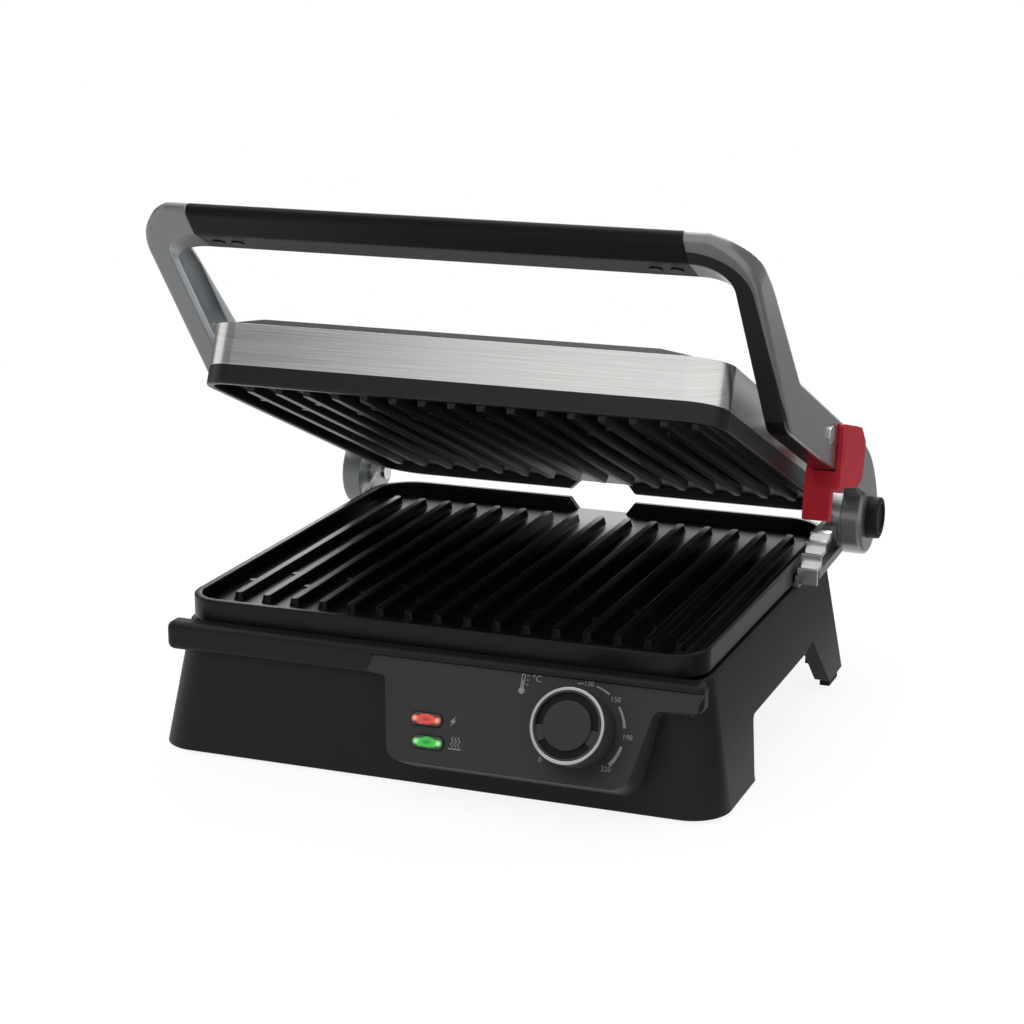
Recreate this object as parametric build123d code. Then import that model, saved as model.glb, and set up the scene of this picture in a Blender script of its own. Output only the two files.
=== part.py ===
from build123d import *
import os
from math import cos, radians, sin, sqrt, tan

# Panini press (contact grill), millimetres. +X is the user's right, -Y the front, +Z up.
# The origin is on the table under the middle of the lower cooking plate.
# Lid, handle and slider are drawn with the press closed, then swung open to the rest pose.

# Cooking plates
plate_width = 300.0
plate_depth = 281.0
plate_front_corner = 20.0
plate_rear_corner = 28.0
plate_rim = 4.5
plate_floor = 5.0
lower_rim_top = 87.8
lower_rim_height = 12.8
upper_rim_height = 10.9
closed_gap = 5.3
rib_pitch = 17.3
rib_count = 16
rib_width = 6.5
rib_height = 4.5
rib_taper = 14.0
rib_length = 226.0
nub_radius = 2.0
nub_front_rows = (-87.0, -67.0)
drain_half_top = 22.7
drain_half_floor = 16.0
rim_edge_round = 1.2

# Hinge and opening angles
hinge_y = 138.0
hinge_z = 93.0
open_angle = 23.8
pin_radius = 4.0
running_fit = 0.05
side_clearance = 0.3

# Base shell
deck_margin = 2.0
base_draft = 13.0
base_front_bottom = -151.0
base_front_top = -143.0
base_rear = 117.0
base_bottom = 2.0
deck_top = 73.0
base_corner = 22.0
base_rear_corner = 8.0
wall = 3.0
belly_z = 34.0
front_block_rear = -83.0
front_block_rear_top = -69.0
leg_front_top = 59.0
leg_front_bottom = 77.0
leg_bottom = 5.0
leg_thickness = 9.0
leg_toe_z = 11.0
foot_round = 6.0
arch_step = 2.6
leg_foot_front = 9.0
leg_foot_rear = 12.0
cover_rise = 2.0
belly_rise = 1.0
belly_margin = 4.0
cover_margin = 7.0
cover_screw_inset = 14.0
cover_screw_front = -118.0
cover_screw_rear = 20.0
cover_screw_length = 14.0
rubber_inset = 40.0
rubber_radius = 8.0
post_inset = 14.0
gland_x = -60.0
gland_radius = 9.0
gland_flange_radius = 12.0
gland_flange = 3.0
cord_hole_radius = 3.6

# Front lip along the top of the base
lip_overhang = 3.0
lip_front = -151.5
lip_rear = -141.3
lip_bottom = 60.0
lip_top = 76.0
lip_round = 4.5

# Control panel, leaning back on a wedge-shaped console
panel_lean = 27.0
panel_y = -150.5
panel_z = 72.0
panel_thickness = 3.0
panel_wall = 2.4
panel_fit = 0.2
panel_left = -29.0
panel_right = 155.0
panel_band = 10.5
panel_height = 54.5
panel_bottom_left = -11.5
panel_bottom_right = 121.5
panel_neck_left = -20.4
panel_neck_right = 131.0
console_depth = 45.0

# Dial and indicators, in panel coordinates (x, height below the panel's top edge)
dial_x = 92.0
dial_drop = 26.4
dial_radius = 20.0
dial_height = 20.0
dial_gap = 0.5
dial_face_recess = 2.5
dial_centre_radius = 13.0
ring_width = 1.9
ring_height = 2.2
shaft_radius = 3.0
shaft_length = 26.0
shaft_cover = 8.0
wing_reach = 40.0
wing_high = 3.0
wing_low = 28.0
notch_angle = 225.0
service_width = 120.0
service_height = 36.0
service_depth = 40.0
service_shift = 30.0
service_drop = 28.0
panel_corner_left = 9.0
panel_corner_right = 11.0
lens_width = 18.0
lens_height = 7.0
lens_proud = 1.4
lens_fit = 0.15
red_lens = (7.7, -30.9)
green_lens = (10.4, -42.8)

# Heating, wiring and inner fittings
heater_radius = 3.25
heater_side_margin = 52.0
heater_half_y = 82.0
heater_tail = 12.0
heater_tail_gap = 30.0
heater_bend = 40.0
pan_side_margin = 26.0
pan_front = -108.0
pan_rear = 92.0
pan_depth = 12.0
pan_sheet = 0.8
pan_flange = 6.0
heater_gap = 0.2
post_radius = 5.0
boss_radius = 4.5
screw_radius = 1.7
screw_head_radius = 3.4
screw_head_height = 2.2
cover_thickness = 2.0
wire_radius = 1.3
wire_bend = 12.0
wire_cross_front = -40.0
wire_cross_rear = -20.0
wire_end = -110.0
wire_drop_run = 16.0
wire_spread = 8.0
terminal_y = 71.0
terminal_length = 44.0
terminal_depth = 18.0
terminal_height = 14.0
terminal_pitch = 11.0
thermostat_width = 34.0
thermostat_height = 24.0
thermostat_depth = 18.0
board_width = 30.0
board_height = 26.0
board_sheet = 1.6
board_back = 13.0
bulb_radius = 2.8
bulb_length = 9.2
cutout_length = 28.0
cutout_width = 12.0
cutout_height = 8.0
cutout_y = -14.0

# Drip tray
tray_half = 92.0
tray_flange = 5.0
tray_front = 50.0
tray_rear = 150.0
tray_bottom = 6.0
tray_top = 28.0
tray_wall = 1.8
tray_corner = 8.0
pull_half = 26.0
pull_reach = 8.0
pull_sheet = 3.0
rail_sheet = 2.0
rail_gap = 0.3

# Hinge brackets and the stepped height rack
bracket_sheet = 2.5
plate_side_gap = 0.8
bracket_flange = 19.0
bracket_front = 44.0
bracket_rear = 108.0
bracket_low_top = 80.0
bracket_high_top = 97.0
barrel_radius = 17.0
knuckle_radius = 21.5
bracket_short = 2.3
eye_radius = 9.5
eye_neck_top = 85.0
strap_width = 3.7
bracket_screw_front = 8.0
bracket_screw_rear = 20.0
strap_depth = 5.0
strap_front_z = 69.0
strap_rear_z = 71.0
washer_thickness = 1.0
cap_radius = 12.8
cap_length = 7.0
flush_cap_length = 2.4
rack_width = 10.7
rack_overhang = 1.2
rack_sheet = 1.8
rack_front = 44.0
rack_bottom = 75.0
rack_rear = 77.0
rack_steps = ((44.0, 85.0), (52.5, 91.6), (61.5, 96.4), (71.5, 99.2))

# Handle: arms and grip
arm_side_gap = 9.0
arm_thickness = 13.0
arm_bottom = 102.5
arm_top = 132.5
arm_bend_top = -70.0
bow_slope = 29.0
bow_y = -120.0
bow_z = 126.0
bow_nose = -220.4
bow_corner = 40.0
bow_reach = 101.0
grip_shoulder = (-150.0, 166.0)
grip_nose = -210.7
grip_crown = (-186.0, 179.7)
grip_rear_top = 173.0
arm_edge_round = 2.5
grip_low_front = -188.6
grip_rear = -165.0
grip_rear_low = 162.4
grip_end_run = 21.0
bend_across = 20.0
arm_bend_round = 25.0
arm_top_round = 10.0
shoulder_round = 120.0
grip_crown_round = 20.0
grip_over = 10.0
grip_lip_depth = 6.0
grip_lip_height = 1.6
grip_screw_back = 12.0
grip_screw_end = 9.0
grip_head_sink = 1.4
frame_height = 10.0
pivot_block_half = 12.0
bend_down = 8.5
grip_split = 2.5
nose_round = 3.0
grip_nose_round = 4.0
hub_radius = 23.0
hub_arc_start = 100.0
pocket_depth = 9.0
pocket_flange = 5.0
pocket_low = -18.0
pocket_high = 60.0
pocket_back = 26.0
inlay_depth = 0.8
inlay_low = -39.0
inlay_band = 8.0
inlay_corner = 30.0
inlay_lean = 5.0
inlay_margin = 0.6
grip_screw_pitch = 11.5
core_width = 14.0
core_height = 4.0
core_tail = 11.5

# Lid
band_height = 23.4
band_sheet = 1.2
dome_height = 11.0
crown_across = 820.0
crown_along = 1225.0
dome_inset = 1.5
dome_wall = 2.5
dome_skirt = 2.0
pivot_y = 10.0
pivot_z = 119.0
pivot_radius = 3.0
pivot_head_radius = 5.0
pivot_head = 1.5
pivot_bush_radius = 5.0
pivot_block_wall = 1.2
pivot_block = 11.0
lid_floor = 2.0

# Height slider on the right arm
slider_skin = 3.2
slider_front = 27.0
slider_front_top = 129.0
slider_rear = 87.5
slider_rear_low = 108.0
slider_hook = 5.0
slider_block_front = 33.0
slider_block_rear = 46.0
slider_block_low = 92.0
slider_lug = 3.5
groove = 0.8
slider_lug_top = 114.0
tongue_thickness = 6.5
tongue_lean = 12.0
tongue_bottom = 74.2
slider_top_round = 9.0
slider_top_run = 15.0
slider_chin = 9.0
hook_back = 12.0
groove_at = 7.0
groove_width = 1.6

# Longer than any cut needs to be
far = 400.0

# Values worked out from the sizes above
half_x = plate_width / 2
half_y = plate_depth / 2
base_half_top = half_x + deck_margin
base_half_bottom = base_half_top + base_draft
belly_half = base_half_top - belly_margin
cover_floor = base_bottom + cover_rise
belly_floor = belly_z + belly_rise
lip_half = base_half_top + lip_overhang
pan_half_x = half_x - pan_side_margin
heater_half_x = half_x - heater_side_margin
arm_inner = half_x + arm_side_gap
arm_outer = arm_inner + arm_thickness
grip_half = arm_inner - grip_end_run
lower_plate_bottom = lower_rim_top - lower_rim_height
upper_rim_bottom = lower_rim_top + closed_gap
band_bottom = upper_rim_bottom + upper_rim_height
band_top = band_bottom + band_height
bracket_inner = half_x + plate_side_gap
bracket_outer = bracket_inner + bracket_sheet
barrel_end = arm_inner - side_clearance - washer_thickness
slider_inner = arm_outer + side_clearance
slider_outer = slider_inner + slider_skin
panel_normal = (0.0, -cos(radians(panel_lean)), sin(radians(panel_lean)))
panel_plane = Plane((0, panel_y, panel_z), x_dir=(1, 0, 0), z_dir=panel_normal)
hinge_axis = Axis((0, hinge_y, hinge_z), (-1, 0, 0))
bow_tan = tan(radians(bow_slope))


def block(x0, x1, y0, y1, z0, z1):
    return Pos((x0 + x1) / 2, (y0 + y1) / 2, (z0 + z1) / 2) * Box(x1 - x0, y1 - y0, z1 - z0)


def turns_left(points):
    """True when the corners run anticlockwise."""
    pairs = zip(points, points[1:] + points[:1])
    return sum(a[0] * b[1] - b[0] * a[1] for a, b in pairs) > 0


def outline(*points):
    """Closed outline; a third number at a point is its corner radius."""
    corners = list(points) if turns_left(list(points)) else list(reversed(points))
    face = make_face(Polyline(*[point[:2] for point in corners], close=True))
    for point in corners:
        if len(point) == 3:
            corner = face.vertices().sort_by_distance((point[0], point[1], 0))[0]
            face = fillet(corner, point[2])
    return face


def side_prism(profile, x0, x1):
    """Profile drawn in (y, z), carried along X from x0 to x1."""
    return extrude(Plane.YZ.offset(x0) * profile, amount=x1 - x0)


def rod_x(x0, x1, y, z, radius):
    return Pos((x0 + x1) / 2, y, z) * Rot(0, 90, 0) * Cylinder(radius, x1 - x0)


def rod_z(x, y, z0, z1, radius):
    return Pos(x, y, (z0 + z1) / 2) * Cylinder(radius, z1 - z0)


def both_sides(part):
    return [part, mirror(part, about=Plane.YZ)]


def opened(part):
    """Swings a piece drawn closed to the rest pose about the hinge."""
    return part.rotate(hinge_axis, open_angle)


def on_panel(x, drop, depth=0.0):
    """Location on the control panel; depth is measured outwards from its face."""
    return panel_plane * Pos(x, drop, depth)


def bow_height(y):
    """Height of the handle's sloping front plane at y, press closed."""
    return bow_z - bow_tan * (y - bow_y)


# Cooking plates

def plate_outline(inset):
    x = half_x - inset
    y = half_y - inset
    front = max(plate_front_corner - inset, 1.0)
    rear = max(plate_rear_corner - inset, 1.0)
    return outline((-x, -y, front), (x, -y, front), (x, y, rear), (-x, y, rear))


def cooking_plate(rim_height):
    """Plate with its cooking side up and the top of its rim at z 0."""
    floor_z = plate_floor - rim_height
    plate = extrude(Pos(0, 0, -rim_height) * plate_outline(0), amount=rim_height)
    plate -= extrude(Pos(0, 0, floor_z) * plate_outline(plate_rim), amount=rim_height)
    plate = fillet(plate.edges().group_by(Axis.Z)[-1], rim_edge_round)
    ribs = []
    for i in range(rib_count):
        x = (i - (rib_count - 1) / 2) * rib_pitch
        bar = Pos(x, 0, floor_z) * Rot(0, 0, 90) * SlotOverall(rib_length, rib_width)
        ribs.append(extrude(bar, amount=rib_height, taper=rib_taper))
        nub_y = nub_front_rows[i % len(nub_front_rows)]
        ribs.append(rod_z(x - rib_width / 2, nub_y, floor_z, floor_z + rib_height, nub_radius))
    plate += ribs
    drain = outline((-drain_half_floor, floor_z), (drain_half_floor, floor_z),
                    (drain_half_top, 1.0), (-drain_half_top, 1.0))
    cut = extrude(Plane.XZ.offset(-half_y - 1) * drain, amount=2 * plate_rim)
    return plate - cut


def lower_plate():
    return Pos(0, 0, lower_rim_top) * cooking_plate(lower_rim_height)


def upper_plate():
    plate = mirror(cooking_plate(upper_rim_height), about=Plane.XY)
    return opened(Pos(0, 0, upper_rim_bottom) * plate)


# Base

def base_section(z, inset):
    t = (z - base_bottom) / (deck_top - base_bottom)
    x = base_half_bottom + t * (base_half_top - base_half_bottom) - inset
    front = base_front_bottom + t * (base_front_top - base_front_bottom) + inset
    rear = base_rear - inset
    r = base_corner - inset
    rear_r = max(base_rear_corner - inset, 1.0)
    return Pos(0, 0, z) * outline((-x, front, r), (x, front, r), (x, rear, rear_r), (-x, rear, rear_r))


def base_loft(z0, z1, inset):
    return loft([base_section(z0, inset), base_section(z1, inset)], ruled=True)


def underside_cut():
    """Open space under the belly, between the front block and the rear legs."""
    low = -belly_z
    arch = outline((front_block_rear - 2, low), (front_block_rear, base_bottom + 3, foot_round / 2),
                   (front_block_rear_top, belly_z, foot_round), (leg_front_top - 20, belly_z),
                   (leg_front_top, belly_z + arch_step, 2.0), (leg_front_bottom, leg_toe_z, 3.0),
                   (leg_front_bottom, low))
    cut = side_prism(arch, -far, far)
    between_legs = base_half_top - leg_thickness
    cut += block(-between_legs, between_legs, leg_front_top, base_rear + 1, low, belly_z)
    cut += block(-far, far, leg_front_bottom - 1, base_rear + 1, low, belly_z - 2)
    return cut


def rear_legs():
    leg = outline((leg_front_top - 3, belly_z + 5), (leg_front_top, belly_z + arch_step),
                  (leg_front_bottom - 1, leg_toe_z, 3.0), (leg_front_bottom + 3, leg_bottom, 2.5),
                  (base_rear, leg_bottom, 7.0), (base_rear, belly_z + 5))
    body = base_loft(base_bottom, deck_top, 0) - base_loft(base_bottom, deck_top, leg_thickness)
    body -= block(-far, far, 0, base_rear - leg_thickness, -far, far) - side_prism(leg, -far, far)
    inside = base_half_top - leg_thickness - 1
    body -= block(-inside, inside, 0, far, -far, far)
    cover_room = belly_half + side_clearance
    body -= block(-cover_room, cover_room, 0, base_rear - wall, belly_floor - side_clearance, far)
    return body & side_prism(leg, -far, far)


def front_lip():
    bar = block(-lip_half, lip_half, lip_front, lip_rear, lip_bottom, lip_top)
    bar = fillet(bar.edges().filter_by(Axis.Z).group_by(Axis.Y)[0], lip_round)
    front = bar.edges().filter_by(Axis.X).group_by(Axis.Y)[0]
    return fillet(front, lip_round - 0.5)


def panel_face(grow):
    """Outline of the control panel in its own plane, made larger all round by grow."""
    return offset(outline((panel_left, 0), (panel_left - 2.4, 1 - panel_band),
                          (panel_neck_left, -panel_band, 3.0),
                          (panel_bottom_left, -panel_height, panel_corner_left),
                          (panel_bottom_right, -panel_height, panel_corner_right),
                          (panel_neck_right, -panel_band - 0.8, 4.0),
                          (panel_right - 3, -panel_band, 3.0), (panel_right, 0)), grow)


def panel_prism(grow, back, front):
    face = panel_plane * Pos(0, 0, back) * panel_face(grow)
    return extrude(face, amount=front - back, dir=panel_normal)


def screw_bosses():
    """Posts inside the shell that take the bottom cover's screws."""
    bosses = []
    for x, y, low in cover_screw_places():
        bosses.append(rod_z(x, y, low + cover_thickness, deck_top - wall / 2, boss_radius))
    return bosses


def cover_screw_places():
    side = base_half_top - cover_screw_inset
    rows = ((cover_screw_front, cover_floor), (cover_screw_rear, belly_floor))
    return [(sign * side, y, low) for y, low in rows for sign in (-1, 1)]


def plate_posts():
    side = half_x - post_inset
    rows = (post_inset - half_y, bracket_front - 2 * post_inset)
    places = [(sign * side, y) for y in rows for sign in (-1, 1)]
    return [rod_z(x, y, deck_top - 1, lower_plate_bottom, post_radius) for x, y in places]


def gland_hole(radius):
    return gland_disc(radius, -2 * wall, 2 * wall)


def gland_disc(radius, back, front):
    """Disc on the cord gland's axis, between two distances from the rear wall."""
    place = Pos(gland_x, base_rear + (back + front) / 2, (belly_z + deck_top) / 2)
    return place * Rot(90, 0, 0) * Cylinder(radius, front - back)


def base_shell():
    shell = base_loft(base_bottom, deck_top, 0)
    shell = fillet(shell.edges().group_by(Axis.Z)[-1], 1.5)
    shell -= base_loft(base_bottom - 0.01, deck_top - wall, wall)
    shell -= underside_cut()
    shell += rear_legs()
    shell += front_lip()
    shell += screw_bosses() + plate_posts()
    shell -= block(-pan_half_x - panel_fit, pan_half_x + panel_fit, pan_front - panel_fit,
                   pan_rear + panel_fit, deck_top - wall - 1, deck_top + 1)
    shell -= panel_prism(panel_fit, -panel_thickness - panel_fit, console_depth)
    service = Pos(dial_x - service_shift, -service_drop, -service_depth / 2)
    shell -= panel_plane * service * Box(service_width, service_height, service_depth)
    deep = cover_screw_length + 6
    shell -= [rod_z(x, y, 0, low + deep, screw_radius) for x, y, low in cover_screw_places()]
    shell -= gland_hole(gland_radius + panel_fit)
    for y in bracket_screw_rows():
        hole = rod_z(bracket_screw_x(), y, deck_top - wall - 1, deck_top + 1, screw_radius + 0.2)
        shell -= both_sides(hole)
    return shell


def control_panel():
    plate = panel_prism(0, -panel_thickness, 0)
    skirt = panel_prism(0, -console_depth, -1) - panel_prism(-panel_wall, -console_depth - 1, -0.5)
    keep_out = base_loft(base_bottom, deck_top, 0) + front_lip()
    keep_out += block(-far, far, base_front_top - 2, 0, 0, far)
    skirt -= keep_out
    low_half = panel_plane * Pos(0, -panel_band - far / 2, 0) * Box(2 * far, far, far)
    skirt = skirt & low_half
    panel = plate + skirt
    panel -= on_panel(dial_x, -dial_drop) * Cylinder(shaft_radius + 0.4, 4 * panel_thickness)
    for x, drop in (red_lens, green_lens):
        hole = RectangleRounded(lens_width + 2 * lens_fit, lens_height + 2 * lens_fit, lens_height / 2 - 0.2)
        depth = 2 * panel_thickness
        panel -= extrude(on_panel(x, drop, -depth) * hole, amount=2 * depth, dir=panel_normal)
    return panel


def bottom_cover():
    """Moulded floor: low under the front block, stepped up to the belly behind it."""
    step = front_block_rear - wall
    rear = base_rear - wall - side_clearance
    belly_top = belly_floor + cover_thickness
    side = base_half_bottom - cover_margin
    front = block(-side, side, base_front_bottom + wall + 1, step, cover_floor, cover_floor + cover_thickness)
    riser = block(-belly_half, belly_half, step - cover_thickness, step, cover_floor, belly_top)
    belly = block(-belly_half, belly_half, step - cover_thickness, rear, belly_floor, belly_top)
    cover = front + riser + belly
    for sign in (-1, 1):
        web = tray_half + tray_flange + rail_gap
        lip_in = tray_half + rail_gap
        flange_low = tray_top - tray_wall
        rail_low = flange_low - rail_gap - rail_sheet
        a, b = sorted((sign * web, sign * (web + rail_sheet)))
        cover += block(a, b, tray_front, rear, rail_low, belly_floor)
        a, b = sorted((sign * lip_in, sign * (web + rail_sheet)))
        cover += block(a, b, tray_front, rear, rail_low, rail_low + rail_sheet)
    deep = 2 * cover_thickness
    cover -= [rod_z(x, y, 0, low + deep, screw_radius + 0.2) for x, y, low in cover_screw_places()]
    return cover & base_loft(base_bottom, deck_top, wall + 0.2)


def cover_screws():
    screws = []
    for x, y, low in cover_screw_places():
        head = rod_z(x, y, low - screw_head_height, low, screw_head_radius)
        screws.append(head + rod_z(x, y, low - 1, low + cover_screw_length, screw_radius - 0.1))
    return screws


def rubber_feet():
    side = base_half_top - rubber_inset
    feet = [rod_z(sign * side, cover_screw_front, 0, cover_floor, rubber_radius) for sign in (-1, 1)]
    leg_in = base_half_bottom - leg_thickness + 1
    for sign in (-1, 1):
        a, b = sorted((sign * leg_in, sign * (leg_in + leg_thickness - 3.0)))
        front = leg_front_bottom + leg_foot_front
        feet.append(block(a, b, front, base_rear - leg_foot_rear, 0, leg_bottom))
    return feet


def cord_gland():
    body = gland_disc(gland_flange_radius, 0, gland_flange)
    body += gland_disc(gland_radius, -2 * wall, 0)
    return body - gland_disc(cord_hole_radius, -3 * wall, gland_flange + 1)


# Dial and indicators

def dial_knob():
    top = dial_gap + dial_height
    body = Pos(0, 0, dial_gap + dial_height / 2) * Cylinder(dial_radius, dial_height)
    body = chamfer(body.edges().group_by(Axis.Z)[0], 0.8)
    inner = dial_radius - ring_width
    seat = Cylinder(dial_radius + 1, ring_height) - Cylinder(inner, ring_height)
    body -= Pos(0, 0, top - ring_height / 2) * seat
    body -= Pos(0, 0, top - dial_face_recess / 2) * Cylinder(inner - 0.9, dial_face_recess)
    wing = Pos(0, 0, top - dial_face_recess * 0.75) * Cylinder(inner - 0.9, dial_face_recess / 2)
    left = outline((0, 0), (-wing_reach, -wing_high), (-wing_reach, -wing_low), (0, 0))
    right = outline((0, 0), (wing_reach, -wing_low), (wing_reach, -wing_high), (0, 0))
    wing -= Pos(0, 0, top) * Cylinder(dial_centre_radius, 2 * dial_face_recess)
    body += [wing & extrude(face, amount=2 * top) for face in (left, right)]
    body -= Cylinder(shaft_radius, 2 * shaft_top())
    return on_panel(dial_x, -dial_drop) * body


def dial_ring():
    top = dial_gap + dial_height
    ring = Cylinder(dial_radius, ring_height) - Cylinder(dial_radius - ring_width, ring_height)
    ring = fillet(ring.edges().group_by(Axis.Z)[-1], 0.6)
    notch = Rot(0, 0, notch_angle) * Pos(dial_radius, 0, ring_height / 2) * Box(3, 1.6, 1.2)
    return on_panel(dial_x, -dial_drop, top - ring_height / 2) * (ring - notch)


def dial_cap():
    low = dial_gap + dial_height - dial_face_recess
    disc = Pos(0, 0, dial_face_recess / 2) * Cylinder(dial_centre_radius, dial_face_recess)
    disc = fillet(disc.edges().group_by(Axis.Z)[-1], 0.8)
    return on_panel(dial_x, -dial_drop, low) * disc


def shaft_top():
    return dial_gap + dial_height - shaft_cover


def dial_shaft():
    place = on_panel(dial_x, -dial_drop, shaft_top() - shaft_length / 2)
    return place * Cylinder(shaft_radius, shaft_length)


def thermostat():
    low = -panel_thickness - thermostat_depth
    body = Pos(0, 0, low + thermostat_depth / 2) * Box(thermostat_width, thermostat_height, thermostat_depth)
    body += Pos(0, 0, low - 2) * Box(thermostat_width * 0.65, thermostat_height * 0.67, 6)
    body -= Cylinder(shaft_radius + running_fit, 4 * thermostat_depth)
    return on_panel(dial_x, -dial_drop) * body


def lens(place):
    shape = RectangleRounded(lens_width, lens_height, lens_height / 2 - 0.4)
    body = extrude(shape, amount=panel_thickness + lens_proud + 1)
    body = fillet(body.edges().group_by(Axis.Z)[-1], 1.0)
    return on_panel(place[0], place[1], -panel_thickness - 1) * body


def lamp_holder():
    x = (red_lens[0] + green_lens[0]) / 2
    drop = (red_lens[1] + green_lens[1]) / 2
    board = Pos(x, drop, -panel_thickness - board_back) * Box(board_width, board_height, board_sheet)
    leg = board_back - board_sheet / 2
    for sign in (-1, 1):
        place = Pos(x + sign * (board_width / 2 - 2), drop, -panel_thickness - leg / 2)
        board += place * Box(3, board_height / 3, leg)
    return panel_plane * board


def indicator_lamps():
    lamps = []
    for x, drop in (red_lens, green_lens):
        low = board_sheet / 2 - board_back - panel_thickness
        place = panel_plane * Pos(x, drop, low + bulb_length / 2)
        lamps.append(place * Cylinder(bulb_radius, bulb_length))
    return lamps


# Heating and wiring

def heater_tube(z):
    """U-shaped tubular element with its two cold tails bent down at the front."""
    x, y, r = heater_half_x, heater_half_y, heater_bend
    gap = heater_tail_gap
    end = -y - heater_tail
    points = [(-gap, end, z), (-gap, -y, z), (-x, -y, z), (-x, y, z), (x, y, z), (x, -y, z), (gap, -y, z),
              (gap, end, z)]
    tail = heater_tail * 0.75
    front = r * 0.75
    path = FilletPolyline(*points, radius=[tail, front, r, r, front, tail])
    start = Plane(path @ 0, z_dir=path % 0)
    return sweep(start * Circle(heater_radius), path)


def heater_z():
    return lower_plate_bottom - heater_radius - heater_gap


def lower_heater():
    return heater_tube(heater_z())


def pan(x, y0, y1, top, depth):
    body = block(-x, x, y0, y1, top - depth, top)
    body += block(-x - pan_flange, x + pan_flange, y0 - pan_flange, y1 + pan_flange, top, top + pan_sheet)
    inner = x - pan_sheet
    low = top - depth + pan_sheet
    return body - block(-inner, inner, y0 + pan_sheet, y1 - pan_sheet, low, top + pan_sheet + 1)


def lower_reflector():
    return pan(pan_half_x, pan_front, pan_rear, deck_top, pan_depth)


def terminal_block():
    z = belly_floor + cover_thickness
    half = terminal_length / 2
    front = terminal_y - terminal_depth / 2
    body = block(gland_x - half, gland_x + half, front, front + terminal_depth, z, z + terminal_height)
    for i in (-1, 0, 1):
        place = Pos(gland_x + i * terminal_pitch, terminal_y, z + terminal_height / 2)
        body -= place * Rot(90, 0, 0) * Cylinder(wire_radius + 0.7, 2 * terminal_depth)
    return body


def tube(points, radius, bend):
    path = FilletPolyline(*points, radius=bend)
    start = Plane(path @ 0, z_dir=path % 0)
    return sweep(start * Circle(radius), path)


def supply_wires():
    """Two wires from the terminal block along the belly to the thermostat and the lamps."""
    floor = belly_floor + cover_thickness
    z = floor + terminal_height / 2
    low = floor + wire_radius + 0.2
    start = terminal_y - terminal_depth / 2 - 2
    wires = []
    for i, end_x in ((0, dial_x - wire_spread), (1, dial_x + wire_spread)):
        x = gland_x + i * terminal_pitch
        points = [(x, start, z), (x, start - wire_drop_run, low), (x, wire_cross_rear, low),
                  (end_x, wire_cross_front, low), (end_x, wire_end, low)]
        wires.append(tube(points, wire_radius, wire_bend))
    return wires


def thermal_cutout():
    z = deck_top - pan_depth
    x = cutout_length / 2
    y = cutout_width / 2
    return block(-x, x, cutout_y - y, cutout_y + y, z - cutout_height, z)


# Drip tray

def drip_tray():
    body = block(-tray_half, tray_half, tray_front, tray_rear, tray_bottom, tray_top)
    body = fillet(body.edges().filter_by(Axis.Z), tray_corner)
    inner = block(-tray_half + tray_wall, tray_half - tray_wall, tray_front + tray_wall,
                  tray_rear - tray_wall, tray_bottom + tray_wall, tray_top + 1)
    body -= fillet(inner.edges().filter_by(Axis.Z), tray_corner - tray_wall)
    for sign in (-1, 1):
        a, b = sorted((sign * (tray_half - tray_wall), sign * (tray_half + tray_flange)))
        body += block(a, b, tray_front + tray_corner, base_rear - wall - 1, tray_top - tray_wall, tray_top)
    end = tray_rear + pull_reach
    pull = block(-pull_half, pull_half, tray_rear - tray_wall, end, tray_top - pull_sheet, tray_top)
    return body + fillet(pull.edges().filter_by(Axis.Z).group_by(Axis.Y)[-1], pull_reach / 2)


# Hinge brackets and height rack

def bracket_foot():
    """Flange screwed to the deck, the same on both brackets."""
    inside = half_x - bracket_flange
    return block(inside, bracket_outer, bracket_front, bracket_rear, deck_top, lower_plate_bottom)


def bracket_holes():
    holes = [rod_x(bracket_inner - 1, barrel_end + 1, hinge_y, hinge_z, pin_radius + running_fit)]
    for y in bracket_screw_rows():
        holes.append(rod_z(bracket_screw_x(), y, deck_top - 1, lower_plate_bottom + 1, screw_radius + 0.2))
    return holes


def right_hinge_bracket():
    """Upright sheet with an outer strap and a broad hinge barrel, behind the rack."""
    step = rack_rear + side_clearance
    end = hinge_y - bracket_short
    web = outline((bracket_front, deck_top), (base_rear + side_clearance, deck_top), (end, strap_rear_z + 1),
                  (end, bracket_high_top), (step, bracket_high_top, 3.0), (step, bracket_low_top),
                  (bracket_front, bracket_low_top))
    body = bracket_foot() + side_prism(web, bracket_inner, bracket_outer)
    strap = outline((step, strap_front_z), (end, strap_rear_z), (end, strap_rear_z + strap_depth),
                    (step, strap_front_z + strap_depth))
    body += side_prism(strap, bracket_outer, bracket_outer + strap_width)
    body += rod_x(bracket_inner, barrel_end, hinge_y, hinge_z, barrel_radius)
    knuckle = rod_x(bracket_inner, barrel_end - washer_thickness, hinge_y, hinge_z, knuckle_radius)
    body += knuckle & block(-far, far, -far, far, -far, hinge_z - bracket_short)
    return body - bracket_holes()


def left_hinge_bracket():
    """Low sheet that rises to a small eye at the hinge."""
    end = hinge_y - bracket_short
    web = outline((bracket_front, deck_top), (base_rear + side_clearance, deck_top),
                  (end, hinge_z - eye_radius), (end, hinge_z + eye_radius / 2),
                  (bracket_rear, eye_neck_top, 4.0), (bracket_front, bracket_low_top))
    body = bracket_foot() + side_prism(web, bracket_inner, bracket_outer)
    body += rod_x(bracket_inner, barrel_end, hinge_y, hinge_z, eye_radius)
    return mirror(body - bracket_holes(), about=Plane.YZ)


def bracket_screw_x():
    return half_x - bracket_flange / 2


def bracket_screw_rows():
    return (bracket_front + bracket_screw_front, bracket_rear - bracket_screw_rear)


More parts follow.
